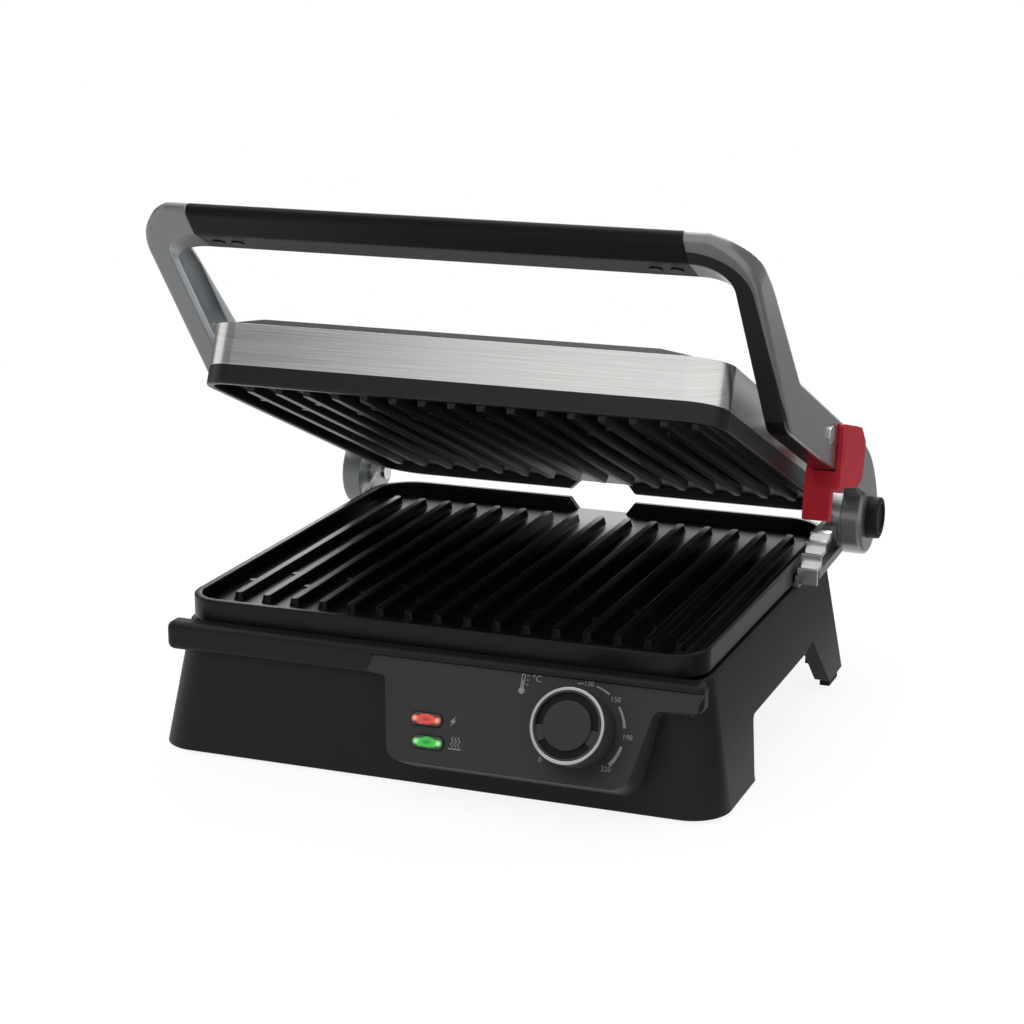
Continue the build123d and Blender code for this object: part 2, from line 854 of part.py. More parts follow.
def bracket_screws():
    screws = []
    for y in bracket_screw_rows():
        screw = rod_z(bracket_screw_x(), y, deck_top - wall - 5, lower_plate_bottom - 0.1, screw_radius - 0.1)
        nut = rod_z(bracket_screw_x(), y, deck_top - wall - 4, deck_top - wall, screw_head_radius)
        screws += both_sides(screw + nut)
    return screws


def hinge_pin(end):
    pin = rod_x(bracket_inner - 1.2, end, hinge_y, hinge_z, pin_radius)
    return pin + rod_x(bracket_inner - 1.6, bracket_inner - 0.1, hinge_y, hinge_z, pin_radius + 1.5)


def hinge_pins():
    """The right pin runs into the tall cap, the left one ends under the flush cap."""
    left = hinge_pin(arm_outer + side_clearance)
    return [hinge_pin(arm_outer + cap_length - 3), mirror(left, about=Plane.YZ)]


def hinge_washer(radius):
    ring = rod_x(barrel_end, barrel_end + washer_thickness, hinge_y, hinge_z, radius)
    return ring - rod_x(barrel_end - 1, arm_inner, hinge_y, hinge_z, pin_radius + running_fit)


def hinge_washers():
    return [hinge_washer(barrel_radius - 1), mirror(hinge_washer(eye_radius - 1), about=Plane.YZ)]


def right_hinge_cap():
    start = arm_outer + side_clearance
    end = arm_outer + cap_length
    cap = rod_x(start, end, hinge_y, hinge_z, cap_radius)
    cap = fillet(cap.edges().group_by(Axis.X)[-1], 1.5)
    cap -= rod_x(start - 1, end - 2.9, hinge_y, hinge_z, pin_radius + running_fit)
    return cap - rod_x(end - 1, end + 1, hinge_y, hinge_z, cap_radius - 4)


def left_hinge_cap():
    start = arm_outer + side_clearance
    cap = rod_x(start, start + flush_cap_length, hinge_y, hinge_z, cap_radius)
    cap = fillet(cap.edges().group_by(Axis.X)[-1], flush_cap_length / 2)
    return mirror(cap, about=Plane.YZ)


def height_rack():
    """Strip bent into steps, open underneath."""
    upper = [(rack_front, rack_bottom)]
    top = rack_bottom
    for y, z in rack_steps:
        upper += [(y, top), (y, z)] if top > rack_bottom else [(y, z)]
        top = z
    under = [(y + rack_sheet, z - rack_sheet) for y, z in upper[1:]]
    ends = [(rack_rear, top), (rack_rear, top - rack_sheet)]
    face = outline(*upper, *ends, *under[::-1], (rack_front + rack_sheet, rack_bottom))
    rack = side_prism(face, bracket_outer - rack_overhang, bracket_outer + rack_width)
    rack -= block(bracket_inner - far, bracket_outer, -far, far, -far, bracket_low_top + side_clearance)
    return chamfer([edge for edge in rack.edges().filter_by(Axis.X) if is_step_nose(edge)], 0.6)


def is_step_nose(edge):
    centre = edge.center()
    return any(abs(centre.Y - y) < 0.01 and abs(centre.Z - z) < 0.01 for y, z in rack_steps)


# Handle

def arm_profile():
    """Side outline of an arm, from the hinge hub to the nose of the grip, in (y, z)."""
    bend_low = bow_y + (bow_z - arm_bottom) / bow_tan
    nose = (bow_nose, bow_height(bow_nose), nose_round)
    face = outline((hinge_y - hub_radius * 0.65, arm_bottom), (bend_low, arm_bottom, arm_bend_round), nose,
                   (*grip_shoulder, shoulder_round), (arm_bend_top, arm_top, arm_top_round),
                   (hub_arc_start, arm_top))
    face += hub_face()
    return face


def hub_face():
    """Rounded rear end: a large arc from the arm's top runs into the round hub."""
    run = hinge_y - hub_arc_start
    rise = arm_top - hinge_z
    big = (run**2 + rise**2 - hub_radius**2) / (2 * (rise - hub_radius))
    centre_z = arm_top - big
    reach = sqrt(run**2 + (hinge_z - centre_z) ** 2)
    touch = (hub_arc_start + run * big / reach, centre_z + (hinge_z - centre_z) * big / reach)
    mid_angle = 0.5
    mid = (hub_arc_start + big * sin(mid_angle * run / reach), centre_z + big * cos(mid_angle * run / reach))
    arc = ThreePointArc((hub_arc_start, arm_top), mid, touch)
    middle = (arm_bottom + arm_top) / 2
    close = Polyline(touch, (hinge_y, hinge_z), (hub_arc_start, middle), (hub_arc_start, arm_top))
    return make_face(arc.edges() + close.edges()) + Pos(hinge_y, hinge_z) * Circle(hub_radius)


def grip_section():
    return outline((grip_nose, bow_height(grip_nose), grip_nose_round),
                   (grip_low_front, bow_height(grip_low_front), 1.5), (grip_rear, grip_rear_low, 3.0),
                   (grip_rear, grip_rear_top, 4.0), (*grip_crown, grip_crown_round))


def bow_plane():
    slope = radians(bow_slope)
    return Plane((0, bow_y, bow_z), x_dir=(1, 0, 0), z_dir=(0, -sin(slope), -cos(slope)))


def bow_envelope():
    """Rounded outer outline of the handle seen square to its front plane."""
    face = outline((-arm_outer, -far), (arm_outer, -far), (arm_outer, bow_reach, bow_corner),
                   (-arm_outer, bow_reach, bow_corner))
    if bow_plane().y_dir.Z < 0:
        face = mirror(face, about=Plane.XZ)
    return extrude(bow_plane() * face, amount=far, both=True)


def arm_pocket():
    """Recess on the inner side of an arm, between its front and rear flanges, open into the bend."""
    slope = radians(bow_slope)
    start = Plane((0, bow_y, bow_z), x_dir=(0, -cos(slope), sin(slope)), z_dir=(1, 0, 0))
    face = outline((pocket_low, pocket_flange), (pocket_high, pocket_flange, 6.0),
                   (pocket_high, pocket_back - 2 * pocket_flange, 4.0),
                   (pocket_high / 2, pocket_back - pocket_flange, 8.0),
                   (pocket_low, pocket_back - pocket_flange, 3.0))
    if start.y_dir.Z < 0:
        face = mirror(face, about=Plane.XZ)
    return extrude(start * Pos(0, 0, arm_inner - bend_across) * face, amount=pocket_depth + bend_across)


def grip_end_cut():
    """Everything inboard of the arm that is not the short stub leading into the grip."""
    low = (grip_low_front, bow_height(grip_low_front))
    lead = grip_end_run / 2
    fall = (grip_rear_low - low[1]) / (grip_rear - low[0])
    zone = outline((low[0] - lead, low[1] - lead * fall), (grip_rear, grip_rear_low, 3.0), (grip_rear, far),
                   (far, far), (far, -far), (low[0] - lead, -far))
    return side_prism(zone, grip_half - 1, arm_inner)


def outer_edges(body):
    """Edges round an arm's outer face, without the seam where it rolls into the corner."""
    across = bow_plane().z_dir
    edges = body.faces().sort_by(Axis.X)[-1].edges()
    return [edge for edge in edges if abs((edge % 0.5).dot(across)) < 0.99]


def arm_bend():
    """Soft inside corner where the stub of the grip turns down into the arm."""
    high = bow_height(grip_low_front)
    fall = (grip_rear_low - high) / (grip_rear - grip_low_front)
    front = grip_low_front - bend_down
    start = Plane((0, front, high - bend_down * fall), x_dir=(1, 0, 0), z_dir=(0, -1, 0))
    edge = arm_inner - bend_across
    wide = arm_inner + 1
    rest = Polyline((edge, 0), (edge, 1), (wide, 1), (wide, -bend_down), (arm_inner, -bend_down))
    curve = EllipticalCenterArc((edge, -bend_down), bend_across, bend_down, start_angle=0, arc_size=90)
    bar = extrude(start * make_face([rest, curve]), amount=grip_rear - front, dir=(0, 1, fall))
    return bar & side_prism(arm_profile(), grip_half, arm_outer)


def arm_blank():
    body = side_prism(arm_profile(), grip_half, arm_outer) - grip_end_cut()
    body += arm_bend()
    body = body & bow_envelope()
    body = fillet(outer_edges(body), arm_edge_round)
    body -= arm_pocket()
    body -= rod_x(arm_inner - 1, arm_outer + 1, hinge_y, hinge_z, pin_radius + running_fit)
    body -= rod_x(arm_inner - 1, arm_outer + 1, pivot_y, pivot_z, pivot_radius + running_fit)
    return body - side_prism(grip_core_face(0.1), grip_half - 1, grip_half + core_tail + 0.5)


def inlay_zone():
    """Band along the inner edge of the right arm's front face, as deep as the inlay."""
    top = (bow_y - grip_low_front) / cos(radians(bow_slope)) + inlay_band
    face = outline((grip_half - 1, inlay_low), (arm_outer - inlay_margin, inlay_low),
                   (arm_outer - inlay_lean, top, inlay_corner), (grip_half - 1, top))
    if bow_plane().y_dir.Z < 0:
        face = mirror(face, about=Plane.XZ)
    return extrude(bow_plane() * Pos(0, 0, -inlay_depth) * face, amount=2 * inlay_depth)


def right_arm():
    return opened(arm_blank() - inlay_zone())


def left_arm():
    return opened(mirror(arm_blank(), about=Plane.YZ))


def right_arm_inlay():
    return opened(arm_blank() & inlay_zone())


def grip_core_face(grow):
    """Section of the steel bar that ties the two arms together inside the grip."""
    y = (grip_low_front + grip_rear) / 2
    z = (grip_rear_low + grip_rear_top) / 2 + 0.5
    return Pos(y, z) * Rectangle(core_width + 2 * grow, core_height + 2 * grow)


def grip_core():
    end = grip_half + core_tail
    return opened(side_prism(grip_core_face(0), -end, end))


def grip_blank():
    return side_prism(grip_section(), -grip_half, grip_half) - side_prism(grip_core_face(0.1), -far, far)


def grip_cover_zone():
    """Slice along the underside that belongs to the screwed grip cover."""
    low = bow_height(grip_low_front)
    front = grip_low_front - grip_over
    rear = grip_rear + grip_over
    face = outline((front, low - grip_over), (rear, grip_rear_low - grip_over),
                   (rear, grip_rear_low + grip_split), (front, low + grip_split + 0.4))
    edge = grip_low_front + grip_lip_depth
    nose = bow_nose - 2 * grip_over
    lip = outline((nose, -far), (nose, bow_height(nose) + grip_lip_height),
                  (edge, bow_height(edge) + grip_lip_height), (edge, -far))
    return side_prism(face - lip, -far, far)


def grip_screw_places():
    y = grip_low_front + grip_screw_back
    first = grip_half - grip_screw_end
    return [(sign * (first - i * grip_screw_pitch), y) for sign in (-1, 1) for i in range(2)]


def grip_shell():
    return opened(grip_blank() - grip_cover_zone())


def grip_cover():
    body = grip_blank() & grip_cover_zone()
    for x, y in grip_screw_places():
        body -= rod_z(x, y, 0, grip_rear_low + grip_head_sink, screw_head_radius + 0.3)
        body -= rod_z(x, y, 0, far, screw_radius + 0.2)
    return opened(body)


def grip_screws():
    screws = []
    for x, y in grip_screw_places():
        head_top = grip_rear_low + grip_head_sink
        screw = rod_z(x, y, head_top - 1.2, head_top, screw_head_radius)
        screws.append(opened(screw + rod_z(x, y, head_top - 0.5, head_top + 1.2, screw_radius)))
    return screws


def pivot_screws():
    screw = rod_x(half_x - pivot_block, arm_outer, pivot_y, pivot_z, pivot_radius)
    head = rod_x(arm_outer, arm_outer + pivot_head, pivot_y, pivot_z, pivot_head_radius)
    head = fillet(head.edges().group_by(Axis.X)[-1], 0.6)
    return [opened(part) for part in both_sides(screw + head)]


# Lid

def lid_band():
    ring = extrude(Pos(0, 0, band_bottom) * plate_outline(0), amount=band_height)
    ring -= extrude(Pos(0, 0, band_bottom - 1) * plate_outline(band_sheet), amount=band_height + 2)
    for sign in (-1, 1):
        a, b = sorted((sign * (half_x - 5), sign * (half_x + 5)))
        ring -= rod_x(a, b, pivot_y, pivot_z, pivot_bush_radius + 0.1)
    return opened(ring)


def crown(drop):
    """Space under the lid's crowned surface, lowered by drop."""
    high = band_top + dome_height
    across = Rot(90, 0, 0) * Cylinder(crown_across - drop, 2 * far)
    along = Rot(0, 90, 0) * Cylinder(crown_along - drop, 2 * far)
    return Pos(0, 0, high - crown_across) * across & Pos(0, 0, high - crown_along) * along


def lid_top():
    """Thin crowned cover: level with the band at its edges, highest in the middle."""
    low = band_top - dome_skirt
    cover = extrude(Pos(0, 0, low) * plate_outline(band_sheet + 0.1), amount=dome_skirt)
    rise = dome_height + dome_skirt
    cover += extrude(Pos(0, 0, low) * plate_outline(dome_inset), amount=rise) & crown(0)
    hollow = extrude(Pos(0, 0, low - 1) * plate_outline(dome_inset + dome_wall), amount=rise)
    return opened(cover - (hollow & crown(dome_wall)))


def lid_frame():
    """Pressed inner tray that the plate, the band and the pivots are fixed to."""
    tray = extrude(Pos(0, 0, band_bottom) * plate_outline(band_sheet + 0.1), amount=frame_height)
    inner = plate_outline(band_sheet + 0.1 + lid_floor)
    tray -= extrude(Pos(0, 0, band_bottom - 1) * inner, amount=frame_height + 2)
    high = pivot_z + pivot_bush_radius + pivot_block_wall
    for sign in (-1, 1):
        a, b = sorted((sign * (half_x - pivot_block), sign * (half_x - band_sheet - 0.1 - lid_floor / 2)))
        tray += block(a, b, pivot_y - pivot_block_half, pivot_y + pivot_block_half, band_bottom, high)
        tray -= rod_x(a - 1, b + 1, pivot_y, pivot_z, pivot_bush_radius)
    return opened(tray)


def pivot_bushes():
    bush = rod_x(half_x - pivot_block, arm_inner - side_clearance, pivot_y, pivot_z, pivot_bush_radius)
    bush -= rod_x(half_x - pivot_block - 1, arm_inner, pivot_y, pivot_z, pivot_radius + running_fit)
    return [opened(part) for part in both_sides(bush)]


def upper_seat():
    """Top of the upper plate's floor, where its heater and reflector sit."""
    return band_bottom


def upper_heater():
    tube_z = upper_seat() + heater_radius + heater_gap
    return opened(heater_tube(tube_z))


def upper_reflector():
    body = pan(pan_half_x, pan_front, pan_rear, 0, pan_depth)
    return opened(Pos(0, 0, upper_seat() + pan_sheet) * mirror(body, about=Plane.XY))


# Height slider

def slider_outer_face():
    high = arm_top + side_clearance + slider_skin
    return outline((slider_front, slider_front_top, 3.0),
                   (slider_rear - slider_top_run, high, slider_top_round),
                   (slider_rear, high - 6, 5.0), (slider_rear + 2, slider_rear_low, 4.0),
                   (slider_rear - slider_chin, slider_rear_low - 7, 4.0),
                   (slider_block_front + 2, slider_block_low + 1, 2.0))


def height_slider():
    top = arm_top + side_clearance
    inner = arm_inner - side_clearance
    lug = inner - slider_lug
    hook_front = (slider_front + slider_rear) / 2 + 6
    hook_rear = slider_rear - hook_back
    body = side_prism(slider_outer_face(), slider_inner, slider_outer)
    body += block(lug, slider_outer - 1, hook_front, hook_rear, top, top + slider_skin - 1)
    body += block(lug, inner, hook_front, hook_rear, top - slider_hook, top + slider_skin - 1)
    under = arm_bottom - side_clearance
    body += block(lug, slider_outer - 0.6, slider_block_front, slider_block_rear, slider_block_low, under)
    body += block(lug, inner, slider_block_front, slider_block_rear, slider_block_low, slider_lug_top)
    shift = (slider_block_low - tongue_bottom) * tan(radians(tongue_lean))
    tongue = outline((slider_block_front, slider_block_low + 1), (slider_block_front, slider_block_low),
                     (slider_block_front + shift, tongue_bottom, 1.5),
                     (slider_block_front + shift + tongue_thickness, tongue_bottom, 1.5),
                     (slider_block_front + tongue_thickness, slider_block_low + 1))
    body += side_prism(tongue, lug, arm_outer - 1)
    line = slider_front + groove_at
    upright = block(slider_outer - groove, slider_outer + 1, line, line + groove_width, arm_bottom + 4, far)
    return opened(body - upright)


def build():
    return {
        "base_shell": base_shell(),
        "bottom_cover": bottom_cover(),
        "cover_screws": cover_screws(),
        "rubber_feet": rubber_feet(),
        "cord_gland": cord_gland(),
        "control_panel": control_panel(),
        "power_lens": lens(red_lens),
        "ready_lens": lens(green_lens),
        "lamp_holder": lamp_holder(),
        "indicator_lamps": indicator_lamps(),
        "thermostat": thermostat(),
        "dial_knob": dial_knob(),
        "dial_ring": dial_ring(),
        "dial_cap": dial_cap(),
        "dial_shaft": dial_shaft(),
        "lower_plate": lower_plate(),
        "lower_heater": lower_heater(),
        "lower_reflector": lower_reflector(),
        "thermal_cutout": thermal_cutout(),
        "terminal_block": terminal_block(),
        "supply_wires": supply_wires(),
        "drip_tray": drip_tray(),
        "right_hinge_bracket": right_hinge_bracket(),
        "left_hinge_bracket": left_hinge_bracket(),
        "bracket_screws": bracket_screws(),
        "hinge_pins": hinge_pins(),
        "hinge_washers": hinge_washers(),
        "right_hinge_cap": right_hinge_cap(),
        "left_hinge_cap": left_hinge_cap(),
        "height_rack": height_rack(),
        "right_arm": right_arm(),
        "left_arm": left_arm(),
        "right_arm_inlay": right_arm_inlay(),
        "grip_core": grip_core(),
        "grip_shell": grip_shell(),
        "grip_cover": grip_cover(),
        "grip_screws": grip_screws(),
        "pivot_screws": pivot_screws(),
        "height_slider": height_slider(),
        "upper_plate": upper_plate(),
        "lid_frame": lid_frame(),
        "lid_band": lid_band(),
        "lid_top": lid_top(),
        "pivot_bushes": pivot_bushes(),
        "upper_heater": upper_heater(),
        "upper_reflector": upper_reflector(),
    }


def write(parts):
    os.makedirs("parts", exist_ok=True)
    for name, part in parts.items():
        shape = Compound(children=[Compound(p.solids()) for p in part]) if isinstance(part, list) else part
        export_step(Compound(shape.solids()), f"parts/{name}.step")


if __name__ == "__main__":
    write(build())
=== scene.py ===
import math

import bmesh
import bpy
from mathutils import Matrix, Vector


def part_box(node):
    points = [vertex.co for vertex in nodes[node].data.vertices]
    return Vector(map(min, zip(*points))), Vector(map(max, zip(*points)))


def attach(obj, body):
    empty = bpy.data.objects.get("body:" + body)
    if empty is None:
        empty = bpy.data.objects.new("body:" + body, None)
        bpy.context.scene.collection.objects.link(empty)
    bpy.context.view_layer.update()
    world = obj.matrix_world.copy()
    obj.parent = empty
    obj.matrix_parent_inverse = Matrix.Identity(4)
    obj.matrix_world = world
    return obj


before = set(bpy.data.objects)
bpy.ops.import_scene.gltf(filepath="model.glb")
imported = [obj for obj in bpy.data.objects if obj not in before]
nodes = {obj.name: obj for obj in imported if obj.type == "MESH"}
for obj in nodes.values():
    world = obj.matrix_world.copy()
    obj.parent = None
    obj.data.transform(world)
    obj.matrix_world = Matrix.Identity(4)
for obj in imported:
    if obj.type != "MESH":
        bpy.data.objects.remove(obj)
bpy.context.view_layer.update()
scene = bpy.context.scene
mm = 0.001
print("frame loaded:", len(nodes), "nodes")

# camera first: fitted to the photograph's plate, handle and base edges
cameraSet = {
    "azimuth": 21.35,
    "elevation": 15.36,
    "roll": -0.20,
    "place": (0.49645, -1.29042, 0.49478),
    "focalPixels": 2466.77,
    "imagePixels": 1024,
    "sensor": 36.0,
    "clipEnd": 100,
}


def placeCamera(settings):
    az, el, roll = (math.radians(settings[k]) for k in ("azimuth", "elevation", "roll"))
    back = Vector((math.sin(az) * math.cos(el), -math.cos(az) * math.cos(el), math.sin(el)))
    right = Vector((math.cos(az), math.sin(az), 0))
    up = back.cross(right)
    sideways = math.cos(roll) * right + math.sin(roll) * up
    upright = -math.sin(roll) * right + math.cos(roll) * up
    lens = bpy.data.cameras.new("photoCamera")
    lens.sensor_width = settings["sensor"]
    lens.lens = settings["focalPixels"] / settings["imagePixels"] * settings["sensor"]
    lens.clip_end = settings["clipEnd"]
    camera = bpy.data.objects.new("photoCamera", lens)
    axes = Matrix((sideways, upright, back)).transposed().to_4x4()
    camera.matrix_world = Matrix.Translation(settings["place"]) @ axes
    scene.collection.objects.link(camera)
    scene.camera = camera


placeCamera(cameraSet)
scene.view_settings.view_transform = "Standard"
print("camera placed")


def hexColour(code):
    # sRGB hex to the linear values that the shaders use
    parts = [int(code[i:i + 2], 16) / 255 for i in (1, 3, 5)]
    return tuple(c / 12.92 if c <= 0.04045 else ((c + 0.055) / 1.055) ** 2.4 for c in parts) + (1.0,)


def addNode(tree, kind, values=(), links=(), stops=(), **settings):
    # one node with its settings, constants and links; stops fill a colour ramp
    node = tree.nodes.new(kind)
    for key, value in settings.items():
        setattr(node, key, value)
    for i, (place, code) in enumerate(stops):
        ramp = node.color_ramp.elements
        stop = ramp[i] if i < 2 else ramp.new(place)  # a new ramp has two stops
        stop.position = place
        stop.color = hexColour(code)
    for socket, value in values:
        node.inputs[socket].default_value = value
    for socket, source in links:
        tree.links.new(source, node.inputs[socket])
    return node


def startMaterial(name, values=()):
    # a new material whose constants are set on the shader's own sockets
    material = bpy.data.materials.new(name)
    material.use_nodes = True
    tree = material.node_tree
    shader = tree.nodes["Principled BSDF"]
    for socket, value in values:
        shader.inputs[socket].default_value = value
    return material, tree, shader


def perMetre(sizeMm):
    # texture scale that gives one feature each sizeMm, in object metres
    return 1000.0 / sizeMm


# the Mix node's sockets share their names, so they go by place
mixShare, mixVectorA, mixVectorB, mixColourA, mixColourB = 0, 4, 5, 6, 7
mixVectorOut, mixColourOut = 1, 2

# the control panel's slope, which the dial, the lenses and the printed marks follow
panelSet = {
    "lean": 27.0,
    "top": (0.0, -150.5, 72.0),
    "dial": (92.0, -26.4),
    "dialWellRadius": 17.5,
    "dialWellHeight": 18.6,
    "lensHalf": (9.0, 3.5),
    "scaleRadius": 24.7,
    "inkLift": 0.06,
    "inkDepth": 0.04,
}
lean = math.radians(panelSet["lean"])
panelUp = Vector((0, math.sin(lean), math.cos(lean)))
panelOut = Vector((0, -math.cos(lean), math.sin(lean)))
panelTurn = (math.pi / 2 - lean, 0, 0)


def panelSpot(x, drop):
    # a point on the panel's face, by millimetres to the right and up the slope from its top edge
    return Vector(panelSet["top"]) * mm + Vector((x * mm, 0, 0)) + panelUp * drop * mm


dialCentre = panelSpot(*panelSet["dial"])

# the open lid's lean and crown, which its brushing and its lacquer follow
lidSet = {
    "openDegrees": 23.8,
    "hingeMm": (0.0, 138.0, 93.0),
    "halfMm": (150.0, 140.5),
    "riseMm": 11.0,
    "upward": 0.95,
}
lidTilt = math.radians(lidSet["openDegrees"])

# what all the moulded plastics share; a look may set its own
plasticSet = {
    "ior": 1.5,
    "specular": 0.16,
    "grainDetail": 3.0,
    "cloudMm": 60.0,
    "cloudDetail": 2.0,
    "cloudStops": (0.3, 0.7),
    "edgeMm": 0.7,
    "edgeSamples": 4,
    "wearAndShadeFrom": 0.995,
    "wearAndShadeAt": 0.80,
    "roughSpread": 0.05,
    "bump": 0.15,
    "bumpMm": 0.05,
    "wellSoftMm": 0.2,
}


def paintedWellShade(tree, where, plain, look):
    # painted shade: the part of the knob sunk in the panel's well is painted near black, as the shade in the
    # recess
    local = addNode(tree, "ShaderNodeMapping", [("Location", dialCentre), ("Rotation", panelTurn)],
                    [("Vector", where)], vector_type="TEXTURE").outputs["Vector"]
    flat = addNode(tree, "ShaderNodeVectorMath", [(1, (1, 1, 0))], [(0, local)], operation="MULTIPLY")
    radius = addNode(tree, "ShaderNodeVectorMath", links=[(0, flat.outputs["Vector"])],
                     operation="LENGTH").outputs["Value"]
    rise = addNode(tree, "ShaderNodeSeparateXYZ", links=[("Vector", local)]).outputs["Z"]
    soft = look["wellSoftMm"] * mm
    reached = []
    for measure, side in ((radius, "dialWellRadius"), (rise, "dialWellHeight")):
        limit = panelSet[side] * mm
        short = addNode(tree, "ShaderNodeMapRange", [("From Min", limit + soft), ("From Max", limit - soft)],
                        [("Value", measure)])
        reached.append(short.outputs["Result"])
    both = addNode(tree, "ShaderNodeMath", links=enumerate(reached), operation="MULTIPLY")
    return addNode(tree, "ShaderNodeMix", [(mixColourB, hexColour(look["well"]))],
                   [(mixShare, both.outputs[0]), (mixColourA, plain)],
                   data_type="RGBA").outputs[mixColourOut]


def mouldedPlastic(name, own):
    # injection-moulded thermoplastic: even colour, spark-eroded grain that breaks up the gloss,
    # soft edges rubbed a little paler; on the panel the edges are painted darker instead, as painted shade
    look = {**plasticSet, **own}
    material, tree, shader = startMaterial(name, [("IOR", look["ior"]),
                                                  ("Specular IOR Level", look["specular"])])
    where = addNode(tree, "ShaderNodeTexCoord").outputs["Object"]
    grain = addNode(tree, "ShaderNodeTexNoise",
                    [("Scale", perMetre(look["grainMm"])), ("Detail", look["grainDetail"])],
                    [("Vector", where)]).outputs["Fac"]
    cloud = addNode(tree, "ShaderNodeTexNoise",
                    [("Scale", perMetre(look["cloudMm"])), ("Detail", look["cloudDetail"])],
                    [("Vector", where)]).outputs["Fac"]
    bevel = addNode(tree, "ShaderNodeBevel", [("Radius", look["edgeMm"] * mm)],
                    samples=look["edgeSamples"]).outputs["Normal"]
    facing = addNode(tree, "ShaderNodeNewGeometry").outputs["Normal"]
    edge = addNode(tree, "ShaderNodeVectorMath", links=[(0, bevel), (1, facing)],
                   operation="DOT_PRODUCT").outputs["Value"]
    wearAndShadeEdge = addNode(tree, "ShaderNodeMapRange", [("From Min", look["wearAndShadeFrom"]), ("From Max", look["wearAndShadeAt"])],
                   [("Value", edge)]).outputs["Result"]
    even = addNode(tree, "ShaderNodeValToRGB", links=[("Fac", cloud)],
                   stops=zip(look["cloudStops"], (look["dark"], look["light"]))).outputs["Color"]
    colour = addNode(tree, "ShaderNodeMix", [(mixColourB, hexColour(look["edge"]))],
                     [(mixShare, wearAndShadeEdge), (mixColourA, even)], data_type="RGBA").outputs[mixColourOut]
    if "well" in look:
        colour = paintedWellShade(tree, where, colour, look)
    tree.links.new(colour, shader.inputs["Base Color"])
    rough = addNode(tree, "ShaderNodeMapRange", [("To Min", look["rough"] - look["roughSpread"]),
                                                 ("To Max", look["rough"] + look["roughSpread"])],
                    [("Value", grain)])
    tree.links.new(rough.outputs["Result"], shader.inputs["Roughness"])
    bump = addNode(tree, "ShaderNodeBump", [("Strength", look["bump"]), ("Distance", look["bumpMm"] * mm)],
                   [("Height", grain), ("Normal", bevel)])
    tree.links.new(bump.outputs["Normal"], shader.inputs["Normal"])
    return material


# spark-eroded grain is really about 0.2 mm; it is drawn coarser so that it shows in the render
plasticLooks = {
    "mouldedAbsCharcoal": {"dark": "#121212", "light": "#151515", "edge": "#2e2e2e",
                           "rough": 0.46, "grainMm": 0.6},
    # the panel's edges are painted a little darker than its face: painted shade of the gap round the panel
    "mouldedAbsPanel": {"dark": "#292929", "light": "#2c2c2c", "edge": "#262626",
                        "rough": 0.5, "grainMm": 0.5},
    # the knob's part sunk in the panel's well is painted near black: painted shade
    "mouldedAbsKnob": {"dark": "#2c2c2c", "light": "#303030", "edge": "#3f3f3f",
                       "rough": 0.42, "grainMm": 0.5, "well": "#0b0b0b"},
    "mouldedAbsKnobFace": {"dark": "#2a2a2a", "light": "#2d2d2d", "edge": "#444444",
                           "rough": 0.5, "grainMm": 0.5},
    "mouldedNylonGrip": {"dark": "#0b0b0b", "light": "#0e0e0e", "edge": "#1e1e1e",
                         "rough": 0.4, "grainMm": 0.5, "specular": 0.1},
    "mouldedNylonGripCover": {"dark": "#2f2f2f", "light": "#333333", "edge": "#474747",
                              "rough": 0.45, "grainMm": 0.5},
    # a near-black piece along the right arm's front face: painted shade on that face
    "paintedShadeInlay": {"dark": "#191919", "light": "#1d1d1d", "edge": "#262626",
                        "rough": 0.4, "grainMm": 0.5},
    "mouldedAbsOxblood": {"dark": "#a0202c", "light": "#aa2631", "edge": "#b43c46",
                          "rough": 0.45, "grainMm": 0.5, "specular": 0.06},
    "mouldedPpTray": {"dark": "#1c1c1c", "light": "#202020", "edge": "#343434",
                      "rough": 0.5, "grainMm": 0.8},
    "thermosetIvory": {"dark": "#cbc6b8", "light": "#d9d4c8", "edge": "#e4e0d6",
                       "rough": 0.55, "grainMm": 0.4},
    "phenolicBoard": {"dark": "#5d4f34", "light": "#6d5e40", "edge": "#7c6c4c",
                      "rough": 0.6, "grainMm": 0.3},
    "siliconeWireBlue": {"dark": "#323749", "light": "#3d4256", "edge": "#4b5168",
                         "rough": 0.55, "grainMm": 0.4},
    "mouldedRubberFoot": {"dark": "#141414", "light": "#191919", "edge": "#262626",
                          "rough": 0.75, "grainMm": 0.6},
}
finishes = {name: mouldedPlastic(name, look) for name, look in plasticLooks.items()}

nonstickSet = {
    "peelMm": 1.6,
    "peelDetail": 2.0,
    "fleckMm": 0.9,
    "fleckStops": (0.05, 0.25),
    "edgeMm": 0.9,
    "edgeSamples": 4,
    "bump": 0.25,
    "bumpMm": 0.05,
}


